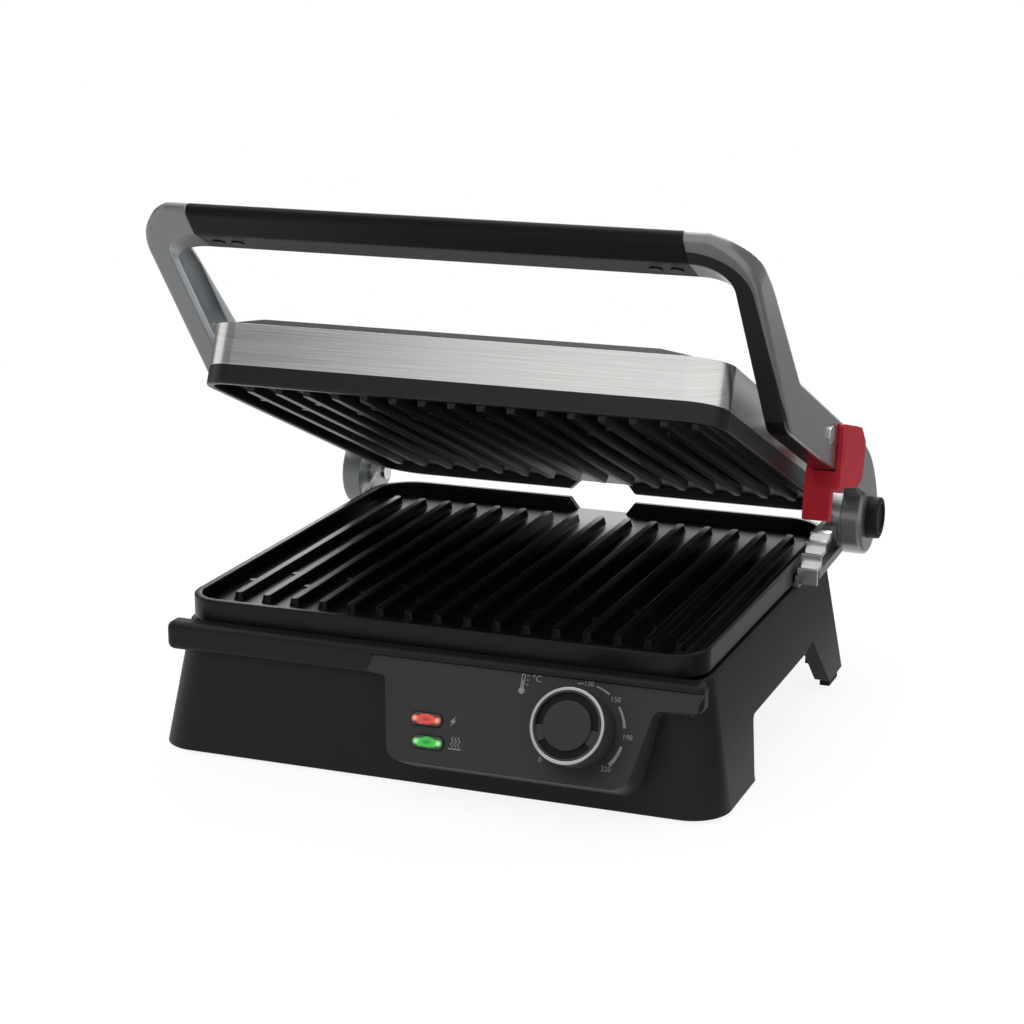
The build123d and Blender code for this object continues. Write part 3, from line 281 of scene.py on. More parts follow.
def nonstickCoating(name, own):
    # sprayed PTFE on die-cast aluminium: near black, faint orange peel, a low soft sheen on rounded edges
    look = {**nonstickSet, **own}
    material, tree, shader = startMaterial(name, [("Roughness", look["rough"]),
                                                  ("Specular IOR Level", look["specular"])])
    where = addNode(tree, "ShaderNodeTexCoord").outputs["Object"]
    peel = addNode(tree, "ShaderNodeTexNoise",
                   [("Scale", perMetre(look["peelMm"])), ("Detail", look["peelDetail"])], [("Vector", where)])
    fleck = addNode(tree, "ShaderNodeTexVoronoi", [("Scale", perMetre(look["fleckMm"]))], [("Vector", where)])
    colour = addNode(tree, "ShaderNodeValToRGB", links=[("Fac", fleck.outputs["Distance"])],
                     stops=zip(look["fleckStops"], (look["light"], look["dark"])))
    tree.links.new(colour.outputs["Color"], shader.inputs["Base Color"])
    bevel = addNode(tree, "ShaderNodeBevel", [("Radius", look["edgeMm"] * mm)], samples=look["edgeSamples"])
    bump = addNode(tree, "ShaderNodeBump", [("Strength", look["bump"]), ("Distance", look["bumpMm"] * mm)],
                   [("Height", peel.outputs["Fac"]), ("Normal", bevel.outputs["Normal"])])
    tree.links.new(bump.outputs["Normal"], shader.inputs["Normal"])
    return material


# one PTFE coating on both plates in two copies: the lower plate's painted darker and the upper plate's
# painted lighter, painted shade and painted light
nonstickLooks = {
    "ptfeNonstickLower": {"dark": "#090909", "light": "#111112", "rough": 0.32, "specular": 0.18},
    "ptfeNonstickUpper": {"dark": "#111111", "light": "#181819", "rough": 0.36, "specular": 0.3},
}
finishes.update({name: nonstickCoating(name, look) for name, look in nonstickLooks.items()})

metalSet = {
    "turn": (0, 0, 0),
    "streakDetail": 4.0,
    "streakRoughness": 0.6,
    "streakStops": (0.35, 0.65),
    "roughSpread": 0.06,
    "edgeMm": 0.4,
    "edgeSamples": 4,
    "bump": 0.1,
    "bumpMm": 0.03,
}


def metalFinish(name, own):
    # bare or plated metal: streaks or fine grain in the polish, and edges that catch the light
    look = {**metalSet, **own}
    material, tree, shader = startMaterial(name, [("Metallic", 1.0)])
    where = addNode(tree, "ShaderNodeTexCoord").outputs["Object"]
    turned = addNode(tree, "ShaderNodeMapping",
                     [("Rotation", look["turn"]), ("Scale", tuple(perMetre(s) for s in look["streakMm"]))],
                     [("Vector", where)])
    streak = addNode(tree, "ShaderNodeTexNoise",
                     [("Scale", 1.0), ("Detail", look["streakDetail"]),
                      ("Roughness", look["streakRoughness"])],
                     [("Vector", turned.outputs["Vector"])]).outputs["Fac"]
    colour = addNode(tree, "ShaderNodeValToRGB", links=[("Fac", streak)],
                     stops=zip(look["streakStops"], (look["dark"], look["light"])))
    tree.links.new(colour.outputs["Color"], shader.inputs["Base Color"])
    rough = addNode(tree, "ShaderNodeMapRange", [("To Min", look["rough"] - look["roughSpread"]),
                                                 ("To Max", look["rough"] + look["roughSpread"])],
                    [("Value", streak)])
    tree.links.new(rough.outputs["Result"], shader.inputs["Roughness"])
    bevel = addNode(tree, "ShaderNodeBevel", [("Radius", look["edgeMm"] * mm)], samples=look["edgeSamples"])
    bump = addNode(tree, "ShaderNodeBump", [("Strength", look["bump"]), ("Distance", look["bumpMm"] * mm)],
                   [("Height", streak), ("Normal", bevel.outputs["Normal"])])
    tree.links.new(bump.outputs["Normal"], shader.inputs["Normal"])
    return material


metalLooks = {
    # brushing is really about 0.1 mm; drawn at 0.5 mm so that it shows in the render
    "brushedStainlessBand": {"dark": "#d3d1cf", "light": "#e6e4e2", "rough": 0.25,
                             "streakMm": (60.0, 60.0, 0.5), "turn": (lidTilt, 0, 0), "bump": 0.05},
    # plating is too smooth to show a grain, so only wide soft clouds are drawn
    "polishedChromeRing": {"dark": "#a9a9a9", "light": "#b4b4b4", "rough": 0.28,
                           "streakMm": (30.0, 30.0, 30.0), "bump": 0.01},
    "nickelPlatedRack": {"dark": "#dedfdf", "light": "#efefef", "rough": 0.24,
                         "streakMm": (30.0, 30.0, 60.0), "bump": 0.01},
    "zincPlatedSheet": {"dark": "#8f9092", "light": "#a9aaab", "rough": 0.38, "streakMm": (4.0, 4.0, 4.0)},
    # turning marks are really about 0.1 mm; drawn at 0.6 mm so that they show
    "turnedBrightSteel": {"dark": "#b4b5b6", "light": "#cfd0d0", "rough": 0.25, "streakMm": (0.6, 3.0, 3.0)},
    "oxidisedHeaterSheath": {"dark": "#4f4b47", "light": "#6e6963", "rough": 0.55,
                             "streakMm": (5.0, 5.0, 5.0)},
    "aluminisedSheet": {"dark": "#a9aaa8", "light": "#c3c4c2", "rough": 0.42, "streakMm": (8.0, 8.0, 8.0)},
    "blackenedSteelScrew": {"dark": "#141414", "light": "#242424", "rough": 0.42,
                            "streakMm": (0.6, 3.0, 3.0)},
}
finishes.update({name: metalFinish(name, look) for name, look in metalLooks.items()})

# flake is really about 0.05 mm; drawn at 0.5 mm so that it shows in the render
paintSet = {
    "coat": 0.15,
    "coatRough": 0.22,
    "flakeMm": 0.5,
    "flakeStops": (0.1, 0.6),
    "edgeSamples": 6,
    "bump": 0.06,
    "bumpMm": 0.02,
    "insideFrom": 0.35,
    "insideAt": 0.75,
    "hollowFrom": 0.85,
    "hollowAt": 0.55,
    "hollowSamples": 8,
    "stripFacing": (0.0, -0.71, -0.71),
    "stripFrom": 0.6,
    "stripAt": 0.75,
}


def paintedHollowLight(tree, lacquer, look):
    # painted light: the arm's hollow inner side, towards +X, and its occluded walls are painted paler, as the
    # light that brightens the hollow
    facing = addNode(tree, "ShaderNodeNewGeometry").outputs["Normal"]
    inward = addNode(tree, "ShaderNodeSeparateXYZ", links=[("Vector", facing)]).outputs["X"]
    shelter = addNode(tree, "ShaderNodeAmbientOcclusion", [("Distance", look["hollowMm"] * mm)],
                      samples=look["hollowSamples"], only_local=True).outputs["AO"]
    for part, measure in (("inside", inward), ("hollow", shelter)):
        share = addNode(tree, "ShaderNodeMapRange",
                        [("From Min", look[part + "From"]), ("From Max", look[part + "At"])],
                        [("Value", measure)]).outputs["Result"]
        lacquer = addNode(tree, "ShaderNodeMix", [(mixColourB, hexColour(look[part]))],
                          [(mixShare, share), (mixColourA, lacquer)],
                          data_type="RGBA").outputs[mixColourOut]
    return lacquer


def paintedUnderShade(tree, coords, lacquer, look):
    # painted shade: the arm's down-facing faces between two heights are painted near black, as the shade
    # under the lower bend, running on from the near-black inlay piece
    down = addNode(tree, "ShaderNodeVectorMath", [(1, look["stripFacing"])], [(0, coords["Normal"])],
                   operation="DOT_PRODUCT").outputs["Value"]
    under = addNode(tree, "ShaderNodeMapRange",
                    [("From Min", look["stripFrom"]), ("From Max", look["stripAt"])], [("Value", down)])
    high = addNode(tree, "ShaderNodeSeparateXYZ", links=[("Vector", coords["Object"])]).outputs["Z"]
    low, top = (edge * mm for edge in look["stripMm"])
    within = addNode(tree, "ShaderNodeMath", [(1, (low + top) / 2), (2, (top - low) / 2)], [(0, high)],
                     operation="COMPARE")
    cover = addNode(tree, "ShaderNodeMath", links=[(0, under.outputs["Result"]), (1, within.outputs[0])],
                    operation="MULTIPLY")
    return addNode(tree, "ShaderNodeMix", [(mixColourB, hexColour(look["strip"]))],
                   [(mixShare, cover.outputs[0]), (mixColourA, lacquer)],
                   data_type="RGBA").outputs[mixColourOut]


def cushionSlope(tree, coords, normal, crown):
    # the pressed sheet flows over its diagonals: the slope of one soft cushion on the upward faces
    across, along = (half * mm for half in crown["halfMm"])
    hinge = Vector(crown["hingeMm"]) * mm
    turn = Matrix.Rotation(-lidTilt, 3, "X")
    place = addNode(tree, "ShaderNodeMapping",
                    [("Location", hinge - turn @ hinge), ("Rotation", turn.to_euler()),
                     ("Scale", (across, along, 1.0))],
                    [("Vector", coords["Object"])], vector_type="TEXTURE").outputs[0]
    square = addNode(tree, "ShaderNodeVectorMath", links=[(0, place), (1, place)], operation="MULTIPLY")
    fall = addNode(tree, "ShaderNodeVectorMath", [(0, (1.0, 1.0, 1.0))], [(1, square.outputs[0])],
                   operation="SUBTRACT")
    parts = addNode(tree, "ShaderNodeSeparateXYZ", links=[("Vector", fall.outputs[0])]).outputs
    swapped = addNode(tree, "ShaderNodeCombineXYZ", links=[("X", parts["Y"]), ("Y", parts["X"])])
    slope = addNode(tree, "ShaderNodeVectorMath", links=[(0, place), (1, swapped.outputs[0])],
                    operation="MULTIPLY")
    rise = 2 * crown["riseMm"] * mm
    cushion = addNode(tree, "ShaderNodeVectorMath",
                      [(1, (rise / across, rise / along, 0.0)), (2, (0.0, 0.0, 1.0))],
                      [(0, slope.outputs[0])], operation="MULTIPLY_ADD")
    leaned = addNode(tree, "ShaderNodeVectorRotate", [("Angle", -lidTilt)],
                     [("Vector", cushion.outputs[0])], rotation_type="X_AXIS")
    posed = addNode(tree, "ShaderNodeVectorTransform", links=[("Vector", leaned.outputs[0])],
                    vector_type="NORMAL", convert_from="OBJECT", convert_to="WORLD")
    upward = addNode(tree, "ShaderNodeVectorMath", [(1, turn @ Vector((0, 0, 1)))],
                     [(0, coords["Normal"])], operation="DOT_PRODUCT")
    onTop = addNode(tree, "ShaderNodeMath", [(1, crown["upward"])], [(0, upward.outputs["Value"])],
                    operation="GREATER_THAN")
    return addNode(tree, "ShaderNodeMix",
                   links=[(mixShare, onTop.outputs[0]), (mixVectorA, normal), (mixVectorB, posed.outputs[0])],
                   data_type="VECTOR").outputs[mixVectorOut]


def silverPaint(name, own):
    # metallic lacquer over a casting or a pressed sheet: fine flake in the colour, satin clear coat
    look = {**paintSet, **own}
    material, tree, shader = startMaterial(name, [
        ("Metallic", look["metallic"]), ("Roughness", look["rough"]),
        ("Coat Weight", look["coat"]), ("Coat Roughness", look["coatRough"])])
    coords = addNode(tree, "ShaderNodeTexCoord").outputs
    flake = addNode(tree, "ShaderNodeTexVoronoi", [("Scale", perMetre(look["flakeMm"]))],
                    [("Vector", coords["Object"])]).outputs["Distance"]
    lacquer = addNode(tree, "ShaderNodeValToRGB", links=[("Fac", flake)],
                      stops=zip(look["flakeStops"], (look["light"], look["dark"]))).outputs["Color"]
    # painted light in the arm's hollow
    if "inside" in look:
        lacquer = paintedHollowLight(tree, lacquer, look)
    # painted shade under the arm's lower bend
    if "strip" in look:
        lacquer = paintedUnderShade(tree, coords, lacquer, look)
    tree.links.new(lacquer, shader.inputs["Base Color"])
    smooth = addNode(tree, "ShaderNodeBevel", [("Radius", look["edgeMm"] * mm)],
                     samples=look["edgeSamples"]).outputs["Normal"]
    if "crown" in look:
        smooth = cushionSlope(tree, coords, smooth, look["crown"])
    bump = addNode(tree, "ShaderNodeBump", [("Strength", look["bump"]), ("Distance", look["bumpMm"] * mm)],
                   [("Height", flake), ("Normal", smooth)])
    tree.links.new(bump.outputs["Normal"], shader.inputs["Normal"])
    return material


# one silver lacquer on both arms in two copies: the right arm's painted lighter and the left arm's painted
# darker, painted light and painted shade
paintLooks = {
    "silverLacquerRightArm": {"dark": "#6c6d6e", "light": "#797a7b", "metallic": 0.6, "rough": 0.32,
                              # the strip colour is painted shade on the arm's underside
                              "coat": 1.0, "edgeMm": 2.5, "strip": "#161617", "stripMm": (118.0, 205.0)},
    # the left arm's hollow and inner side are painted paler: painted light
    "silverLacquerLeftArm": {"dark": "#606162", "light": "#6c6d6e", "metallic": 0.55, "rough": 0.36,
                             "coat": 0.5, "edgeMm": 2.0, "inside": "#b4babd", "hollow": "#c6cacc",
                             "hollowMm": 14.0},
    "greyLacquerLid": {"dark": "#5b5b5a", "light": "#666665", "metallic": 0.6, "rough": 0.36,
                       "edgeMm": 0.6, "crown": lidSet},
}
finishes.update({name: silverPaint(name, look) for name, look in paintLooks.items()})

lensSet = {
    "rough": 0.12,
    "ior": 1.58,
    "glow": 0.35,
    "facetMm": 3.2,
    "facetGain": 0.3,
    "facetShift": -0.1,
    "bodyStops": (0.18, 0.5, 0.68, 0.92),
    "spotAcross": 0.72,
    "spotFlatten": 0.4,
    "spotStops": ((0.02, "#d8d8d8"), (0.24, "#000000")),
}


def glowLens(name, own):
    # moulded polycarbonate lens lit from behind: deeper middle facet, bright surround, dark rim, and a
    # painted highlight near each end, which glows with the rest
    look = {**lensSet, **own}
    material, tree, shader = startMaterial(name, [("Roughness", look["rough"]), ("IOR", look["ior"]),
                                                  ("Emission Strength", look["glow"])])
    low, high = (Vector(corner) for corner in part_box(look["node"]))
    halfWidth, halfHeight = (size * mm for size in panelSet["lensHalf"])
    where = addNode(tree, "ShaderNodeTexCoord").outputs["Object"]
    local = addNode(tree, "ShaderNodeMapping", [("Location", (low + high) / 2), ("Rotation", panelTurn),
                                                ("Scale", (halfWidth, halfHeight, 1.0))],
                    [("Vector", where)], vector_type="TEXTURE").outputs["Vector"]
    reach = addNode(tree, "ShaderNodeVectorMath", links=[(0, local)], operation="LENGTH").outputs["Value"]
    facet = addNode(tree, "ShaderNodeTexVoronoi", [("Scale", perMetre(look["facetMm"]))], [("Vector", where)])
    shift = addNode(tree, "ShaderNodeMath", [(1, look["facetGain"]), (2, look["facetShift"])],
                    [(0, facet.outputs["Distance"])], operation="MULTIPLY_ADD")
    ripple = addNode(tree, "ShaderNodeMath", links=[(0, reach), (1, shift.outputs[0])], operation="ADD")
    bodyColours = (look["deep"], look["mid"], look["mid"], look["rim"])
    body = addNode(tree, "ShaderNodeValToRGB", links=[("Fac", ripple.outputs[0])],
                   stops=zip(look["bodyStops"], bodyColours))
    parts = addNode(tree, "ShaderNodeSeparateXYZ", links=[("Vector", local)]).outputs
    # painted highlight: a pale spot near each end of the lens
    sideways = addNode(tree, "ShaderNodeMath", links=[(0, parts["X"])], operation="ABSOLUTE")
    fromSpot = addNode(tree, "ShaderNodeMath", [(1, look["spotAcross"])], [(0, sideways.outputs[0])],
                       operation="SUBTRACT")
    flatter = addNode(tree, "ShaderNodeMath", [(1, look["spotFlatten"])], [(0, parts["Y"])],
                      operation="MULTIPLY")
    spotPlace = addNode(tree, "ShaderNodeCombineXYZ",
                        links=[("X", fromSpot.outputs[0]), ("Y", flatter.outputs[0])])
    spotReach = addNode(tree, "ShaderNodeVectorMath", links=[(0, spotPlace.outputs["Vector"])],
                        operation="LENGTH")
    highlightShare = addNode(tree, "ShaderNodeValToRGB", links=[("Fac", spotReach.outputs["Value"])],
                   stops=look["spotStops"])
    colour = addNode(tree, "ShaderNodeMix", [(mixColourB, hexColour(look["paintedHighlight"]))],
                     [(mixShare, highlightShare.outputs["Color"]), (mixColourA, body.outputs["Color"])],
                     data_type="RGBA").outputs[mixColourOut]
    tree.links.new(colour, shader.inputs["Base Color"])
    tree.links.new(colour, shader.inputs["Emission Color"])
    return material


lensLooks = {
    "litPolycarbonateRed": {"node": "power_lens", "paintedHighlight": "#f0a284", "mid": "#b03222", "deep": "#74231a",
                            "rim": "#240805"},
    "litPolycarbonateGreen": {"node": "ready_lens", "paintedHighlight": "#a4f29c", "mid": "#229a2e", "deep": "#14701f",
                              "rim": "#052006"},
}
finishes.update({name: glowLens(name, look) for name, look in lensLooks.items()})

cloudyStops = (0.3, 0.7)


def cloudyFinish(name, look):
    # a thin finish whose colour wavers a little from place to place
    material, tree, shader = startMaterial(name, look["sockets"])
    where = addNode(tree, "ShaderNodeTexCoord").outputs["Object"]
    patch = addNode(tree, "ShaderNodeTexNoise", [("Scale", perMetre(look["patchMm"]))], [("Vector", where)])
    colour = addNode(tree, "ShaderNodeValToRGB", links=[("Fac", patch.outputs["Fac"])],
                     stops=zip(cloudyStops, (look["dark"], look["light"])))
    tree.links.new(colour.outputs["Color"], shader.inputs["Base Color"])
    return material


cloudyLooks = {
    # blown glass of the small neon lamps: clear with faint ripples
    "blownLampGlass": {"dark": "#f0ece6", "light": "#fbf7f2", "patchMm": 2.0,
                       "sockets": [("Roughness", 0.05), ("IOR", 1.5), ("Transmission Weight", 0.9)]},
    # pale grey pad-printed ink: slightly uneven cover
    "padPrintedInkGrey": {"dark": "#626365", "light": "#7a7b7d", "patchMm": 0.8,
                          "sockets": [("Roughness", 0.6)]},
}
finishes.update({name: cloudyFinish(name, look) for name, look in cloudyLooks.items()})

wears = {
    "mouldedAbsCharcoal": ["base_shell", "bottom_cover", "right_hinge_cap", "left_hinge_cap", "cord_gland"],
    "mouldedAbsPanel": ["control_panel"],
    "mouldedAbsKnob": ["dial_knob"],
    "mouldedAbsKnobFace": ["dial_cap"],
    "polishedChromeRing": ["dial_ring"],
    "litPolycarbonateRed": ["power_lens"],
    "litPolycarbonateGreen": ["ready_lens"],
    "blownLampGlass": ["indicator_lamps"],
    "phenolicBoard": ["lamp_holder"],
    "thermosetIvory": ["thermostat", "terminal_block", "thermal_cutout"],
    "siliconeWireBlue": ["supply_wires"],
    "mouldedRubberFoot": ["rubber_feet"],
    "ptfeNonstickLower": ["lower_plate"],
    "ptfeNonstickUpper": ["upper_plate"],
    "oxidisedHeaterSheath": ["lower_heater", "upper_heater"],
    "aluminisedSheet": ["lower_reflector", "upper_reflector"],
    "zincPlatedSheet": ["right_hinge_bracket", "left_hinge_bracket", "lid_frame", "grip_core"],
    "turnedBrightSteel": ["cover_screws", "bracket_screws", "hinge_pins", "hinge_washers", "dial_shaft",
                          "pivot_screws", "pivot_bushes"],
    "blackenedSteelScrew": ["grip_screws"],
    "nickelPlatedRack": ["height_rack"],
    "silverLacquerRightArm": ["right_arm"],
    "silverLacquerLeftArm": ["left_arm"],
    "paintedShadeInlay": ["right_arm_inlay"],
    "mouldedNylonGrip": ["grip_shell"],
    "mouldedNylonGripCover": ["grip_cover"],
    "mouldedAbsOxblood": ["height_slider"],
    "brushedStainlessBand": ["lid_band"],
    "greyLacquerLid": ["lid_top"],
    "mouldedPpTray": ["drip_tray"],
}
for finish, members in wears.items():
    for member in members:
        nodes[member].data.materials.clear()
        nodes[member].data.materials.append(finishes[finish])
undressed = sorted(set(nodes) - {m for members in wears.values() for m in members})
print("finishes on the frame:", len(wears), "still bare:", undressed)


# printed marks on the control panel, all in millimetres on its face
def panelFrame(x, drop):
    # a place on the panel's face, its own x to the right and its own y up the slope
    axes = Matrix(((1, 0, 0), panelUp, panelOut)).transposed().to_4x4()
    return Matrix.Translation(panelSpot(x, drop) + panelOut * panelSet["inkLift"] * mm) @ axes


def printInk(name, mesh, place):
    mesh.materials.clear()
    mesh.materials.append(finishes["padPrintedInkGrey"])
    ink = bpy.data.objects.new(name, mesh)
    ink.matrix_world = panelFrame(*place)
    scene.collection.objects.link(ink)
    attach(ink, "base")


def inkShape(name, outlines, place):
    # flat printed shapes with a hair of thickness
    mesh = bpy.data.meshes.new(name)
    bm = bmesh.new()
    for points in outlines:
        face = bm.faces.new([bm.verts.new((x * mm, y * mm, 0)) for x, y in points])
        face.normal_update()
        if face.normal.z < 0:
            face.normal_flip()
    lifted = bmesh.ops.extrude_face_region(bm, geom=bm.faces[:])
    for vert in (g for g in lifted["geom"] if isinstance(g, bmesh.types.BMVert)):
        vert.co.z += panelSet["inkDepth"] * mm
    bm.to_mesh(mesh)
    bm.free()
    printInk(name, mesh, place)


inkTextSet = {"capitalShare": 0.7, "curveSteps": 4}  # a capital's share of the font size


def inkText(name, words, place, height):
    curve = bpy.data.curves.new(name, "FONT")
    curve.body = words
    curve.align_x = "CENTER"
    curve.align_y = "CENTER"
    curve.size = height * mm / inkTextSet["capitalShare"]
    curve.extrude = panelSet["inkDepth"] * mm / 2
    curve.resolution_u = inkTextSet["curveSteps"]
    flat = bpy.data.objects.new(name, curve)
    mesh = bpy.data.meshes.new_from_object(flat)
    bpy.data.objects.remove(flat)
    mesh.name = name
    printInk(name, mesh, place)


# arcs round the dial: start and end in degrees clockwise from the top, width at each end
scaleMarks = {
    "arcs": [(-11, -3, 0.5, 0.7), (14, 33, 0.7, 1.0), (53, 80, 1.0, 1.5), (102, 129, 1.5, 2.1)],
    "arcSteps": 18,
    "numbers": [("130", 93.6, -1.6), ("150", 109.2, -8.0), ("190", 118.6, -26.6), ("220", 109.8, -44.2),
                ("0", 73.6, -44.0)],
    "numberHeight": 2.6,
    "degree": ("°C", (65.0, -2.4), 3.4),
}


def arcBand(radius, start, end, thin, thick, steps):
    outer, inner = [], []
    for i in range(steps + 1):
        part = i / steps
        angle = math.radians(start + (end - start) * part)
        half = (thin + (thick - thin) * part) / 2
        outer.append(((radius + half) * math.sin(angle), (radius + half) * math.cos(angle)))
        inner.append(((radius - half) * math.sin(angle), (radius - half) * math.cos(angle)))
    return outer + inner[::-1]


for i, arc in enumerate(scaleMarks["arcs"]):
    band = arcBand(panelSet["scaleRadius"], *arc, scaleMarks["arcSteps"])
    inkShape(f"scaleArc{i}", [band], panelSet["dial"])
for words, x, drop in scaleMarks["numbers"]:
    inkText(f"scaleNumber{words}", words, (x, drop), scaleMarks["numberHeight"])
inkText("degreeMark", *scaleMarks["degree"])


def bar(left, bottom, right, top):
    return [(left, bottom), (right, bottom), (right, top), (left, top)]


# thermometer: open tube with its filling, round bulb and three ticks
thermometerSet = {
    "place": (57.5, -4.6),
    "tube": [(-1.0, -3.4, -0.6, 4.0), (0.6, -3.4, 1.0, 4.0), (-0.6, 3.6, 0.6, 4.0), (-0.35, -3.4, 0.35, 1.0)],
    "bulbHeight": -4.8,
    "bulbRadius": 1.7,
    "bulbSides": 24,
    "ticks": [(2.0, -1.6, 3.2, -1.2), (2.0, 0.8, 3.2, 1.2), (2.0, 3.2, 3.2, 3.6)],
}


def roundBulb(height, radius, sides):
    angles = [2 * math.pi * i / sides for i in range(sides)]
    return [(radius * math.cos(a), height + radius * math.sin(a)) for a in angles]


bulb = roundBulb(thermometerSet["bulbHeight"], thermometerSet["bulbRadius"], thermometerSet["bulbSides"])
tube = [bar(*corners) for corners in thermometerSet["tube"]]
ticks = [bar(*corners) for corners in thermometerSet["ticks"]]
inkShape("thermometerMark", tube + [bulb] + ticks, thermometerSet["place"])

# lightning stroke beside the red lens
mainsSet = {
    "place": (22.6, -30.2),
    "bolt": [(1.6, 3.0), (-1.9, -0.5), (-0.2, -0.4), (-1.6, -3.0), (1.9, 0.6), (0.2, 0.5)],
}
inkShape("mainsMark", [mainsSet["bolt"]], mainsSet["place"])

# rising heat over a plate beside the green lens
heatSet = {
    "place": (25.8, -41.2),
    "waves": (-1.9, 0.0, 1.9),
    "waveBottom": -2.4,
    "waveHeight": 5.4,
    "swing": 0.55,
    "swingRate": 2.2,
    "halfLine": 0.24,
    "steps": 12,
    "plate": (-3.6, -3.6, 3.6, -3.0),
}


def heatWave(x, look):
    left, right = [], []
    for i in range(look["steps"] + 1):
        y = look["waveBottom"] + look["waveHeight"] * i / look["steps"]
        bend = look["swing"] * math.sin(y * look["swingRate"])
        left.append((x + bend - look["halfLine"], y))
        right.append((x + bend + look["halfLine"], y))
    return left + right[::-1]


waves = [heatWave(x, heatSet) for x in heatSet["waves"]]
inkShape("heatMark", waves + [bar(*heatSet["plate"])], heatSet["place"])
print("panel marks printed")


# floor and studio light
def stagePlane(name, half, place=(0, 0, 0), facing=None):
    mesh = bpy.data.meshes.new(name)
    w, h = half
    mesh.from_pydata([(-w, -h, 0), (w, -h, 0), (w, h, 0), (-w, h, 0)], [], [(0, 1, 2, 3)])
    plane = bpy.data.objects.new(name, mesh)
    plane.location = place
    if facing:
        plane.rotation_euler = (Vector(facing) - Vector(place)).to_track_quat("Z", "Y").to_euler()
    scene.collection.objects.link(plane)
    return plane


def plainlySeen(tree):
    # 1 where the camera looks straight, by gloss or through glass, and 0 for the light on the object
    ray = addNode(tree, "ShaderNodeLightPath").outputs
    seen = addNode(tree, "ShaderNodeMath", links=[(0, ray["Is Camera Ray"]), (1, ray["Is Glossy Ray"])],
                   operation="MAXIMUM")
    return addNode(tree, "ShaderNodeMath", links=[(0, seen.outputs[0]), (1, ray["Is Transmission Ray"])],
                   operation="MAXIMUM").outputs[0]


white, black = hexColour("#ffffff"), hexColour("#000000")
# mat painted board: white to the camera and in reflections, with the object's shadow kept near it
floorSet = {
    "half": 40.0,
    "colour": "#f4f4f4",
    "rough": 0.9,
    "whiteFrom": 0.25,
    "whiteAt": 1.1,
    "nearShare": 0.88,
}
floor = stagePlane("studioFloor", (floorSet["half"], floorSet["half"]))
floorPaint, floorTree, floorShader = startMaterial("matPaintedFloor", [
    ("Roughness", floorSet["rough"]), ("Base Color", hexColour(floorSet["colour"])),
    ("Specular IOR Level", 0.0)])
spread = addNode(floorTree, "ShaderNodeTexCoord").outputs["Object"]
away = addNode(floorTree, "ShaderNodeVectorMath", links=[(0, spread)], operation="LENGTH")
fade = addNode(floorTree, "ShaderNodeMapRange",
               [("From Min", floorSet["whiteFrom"]), ("From Max", floorSet["whiteAt"]),
                ("To Min", floorSet["nearShare"])], [("Value", away.outputs["Value"])])
share = addNode(floorTree, "ShaderNodeMath", links=[(0, plainlySeen(floorTree)), (1, fade.outputs["Result"])],
                operation="MULTIPLY")
glow = addNode(floorTree, "ShaderNodeEmission", [("Color", white), ("Strength", 1.0)])
blendFloor = addNode(floorTree, "ShaderNodeMixShader",
                     links=[("Fac", share.outputs[0]), (1, floorShader.outputs[0]), (2, glow.outputs[0])])
floorTree.links.new(blendFloor.outputs[0], floorTree.nodes["Material Output"].inputs["Surface"])
floor.data.materials.append(floorPaint)

worldSet = {"light": "#dcdddf", "strength": 0.85}
world = bpy.data.worlds.new("paleStudio")
world.use_nodes = True
scene.world = world
sky = world.node_tree
roomLight = sky.nodes["Background"]
roomLight.inputs["Color"].default_value = hexColour(worldSet["light"])
roomLight.inputs["Strength"].default_value = worldSet["strength"]
backdrop = addNode(sky, "ShaderNodeBackground", [("Color", white), ("Strength", 1.0)])
blendSky = addNode(sky, "ShaderNodeMixShader",
                   links=[("Fac", plainlySeen(sky)), (1, roomLight.outputs[0]), (2, backdrop.outputs[0])])
sky.links.new(blendSky.outputs[0], sky.nodes["World Output"].inputs["Surface"])

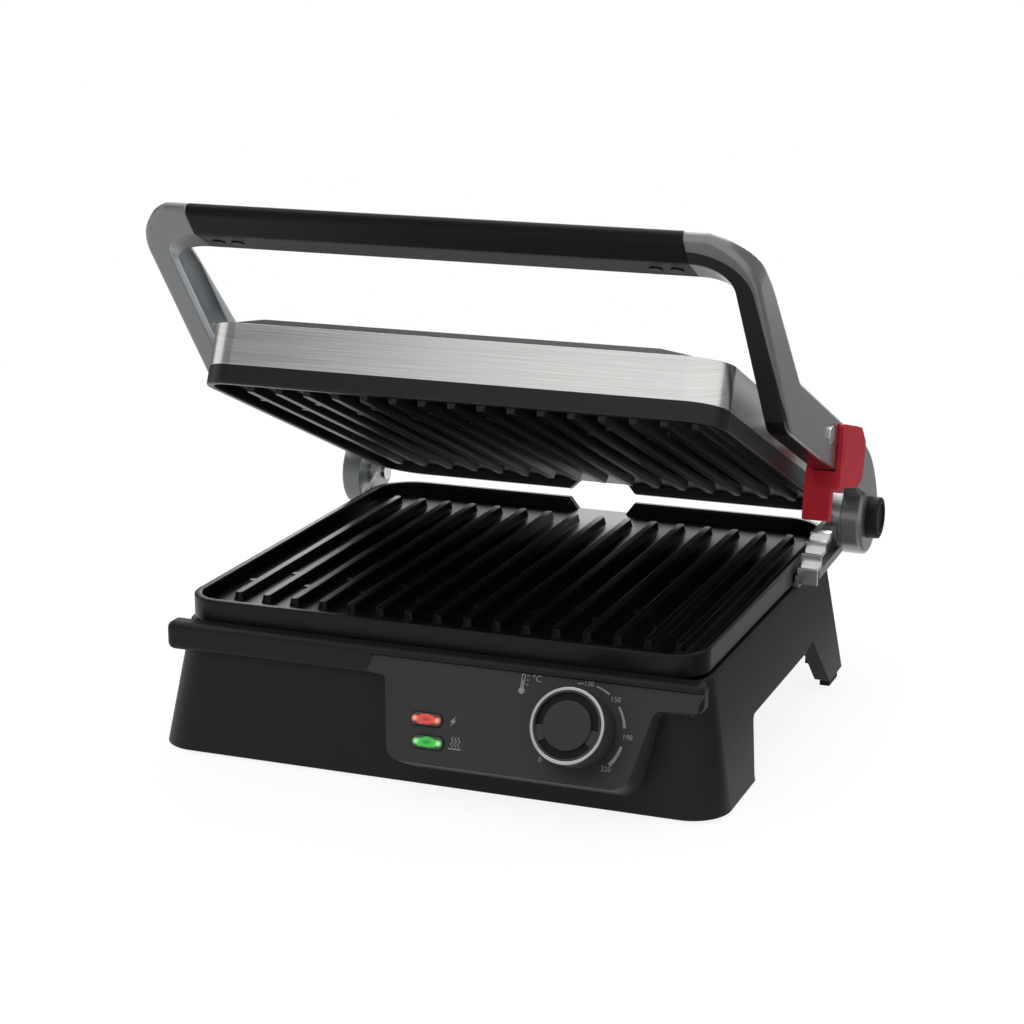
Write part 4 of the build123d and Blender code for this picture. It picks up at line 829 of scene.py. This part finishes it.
# grey felt cards that only show in gloss, as a photographer shades polished metal
cardSet = {
    "leftCard": {"place": (-1.2, -1.1, 0.85), "aim": (0, 0, 0.2), "half": (0.55, 0.8), "grey": "#7c7c7c"},
    "rightCard": {"place": (0.72, 0.55, 0.45), "aim": (0, 0, 0.2), "half": (0.6, 0.44), "grey": "#8c8c8c"},
    "leftBackCard": {"place": (-1.0, 0.6, 0.3), "aim": (0, 0, 0.25), "half": (0.5, 0.4), "grey": "#6a6a6a"},
    "tableCard": {"place": (0.76, 0.5, 0.002), "aim": (0.76, 0.5, 1.0), "half": (0.55, 0.75),
                  "grey": "#8a8a8a"},
}
for name, card in cardSet.items():
    plane = stagePlane(name, card["half"], card["place"], card["aim"])
    plane.visible_camera = False
    plane.visible_diffuse = False
    plane.visible_shadow = False
    plane.visible_transmission = False
    felt = startMaterial("greyFelt" + name, [
        ("Roughness", 1.0), ("Base Color", black), ("Specular IOR Level", 0.0),
        ("Emission Color", hexColour(card["grey"])), ("Emission Strength", 1.0)])[0]
    plane.data.materials.append(felt)

lampSet = {
    "keyBox": {"place": (-0.35, -1.7, 1.75), "aim": (0, 0, 0.12), "size": (1.3, 1.1), "power": 26.0,
               "gloss": False},
    "topBox": {"place": (-0.2, 0.2, 2.1), "aim": (0, 0, 0.1), "size": (1.8, 1.6), "power": 18.0,
               "gloss": True},
    "edgeBox": {"place": (0.25, 0.98, 1.64), "aim": (0.1, -0.1, 0.28), "size": (1.7, 0.45), "power": 9.0,
                "gloss": True},
    "backBox": {"place": (-0.4, 1.9, 0.8), "aim": (0, 0, 0.15), "size": (1.8, 0.8), "power": 15.0,
                "gloss": True},
}
for name, lamp in lampSet.items():
    light = bpy.data.lights.new(name, "AREA")
    light.shape = "RECTANGLE"
    light.size, light.size_y = lamp["size"]
    light.energy = lamp["power"]
    holder = bpy.data.objects.new(name, light)
    holder.location = lamp["place"]
    direction = Vector(lamp["aim"]) - Vector(lamp["place"])
    holder.rotation_euler = direction.to_track_quat("-Z", "Y").to_euler()
    holder.visible_glossy = lamp["gloss"]
    holder.visible_camera = False
    scene.collection.objects.link(holder)
print("studio lit")
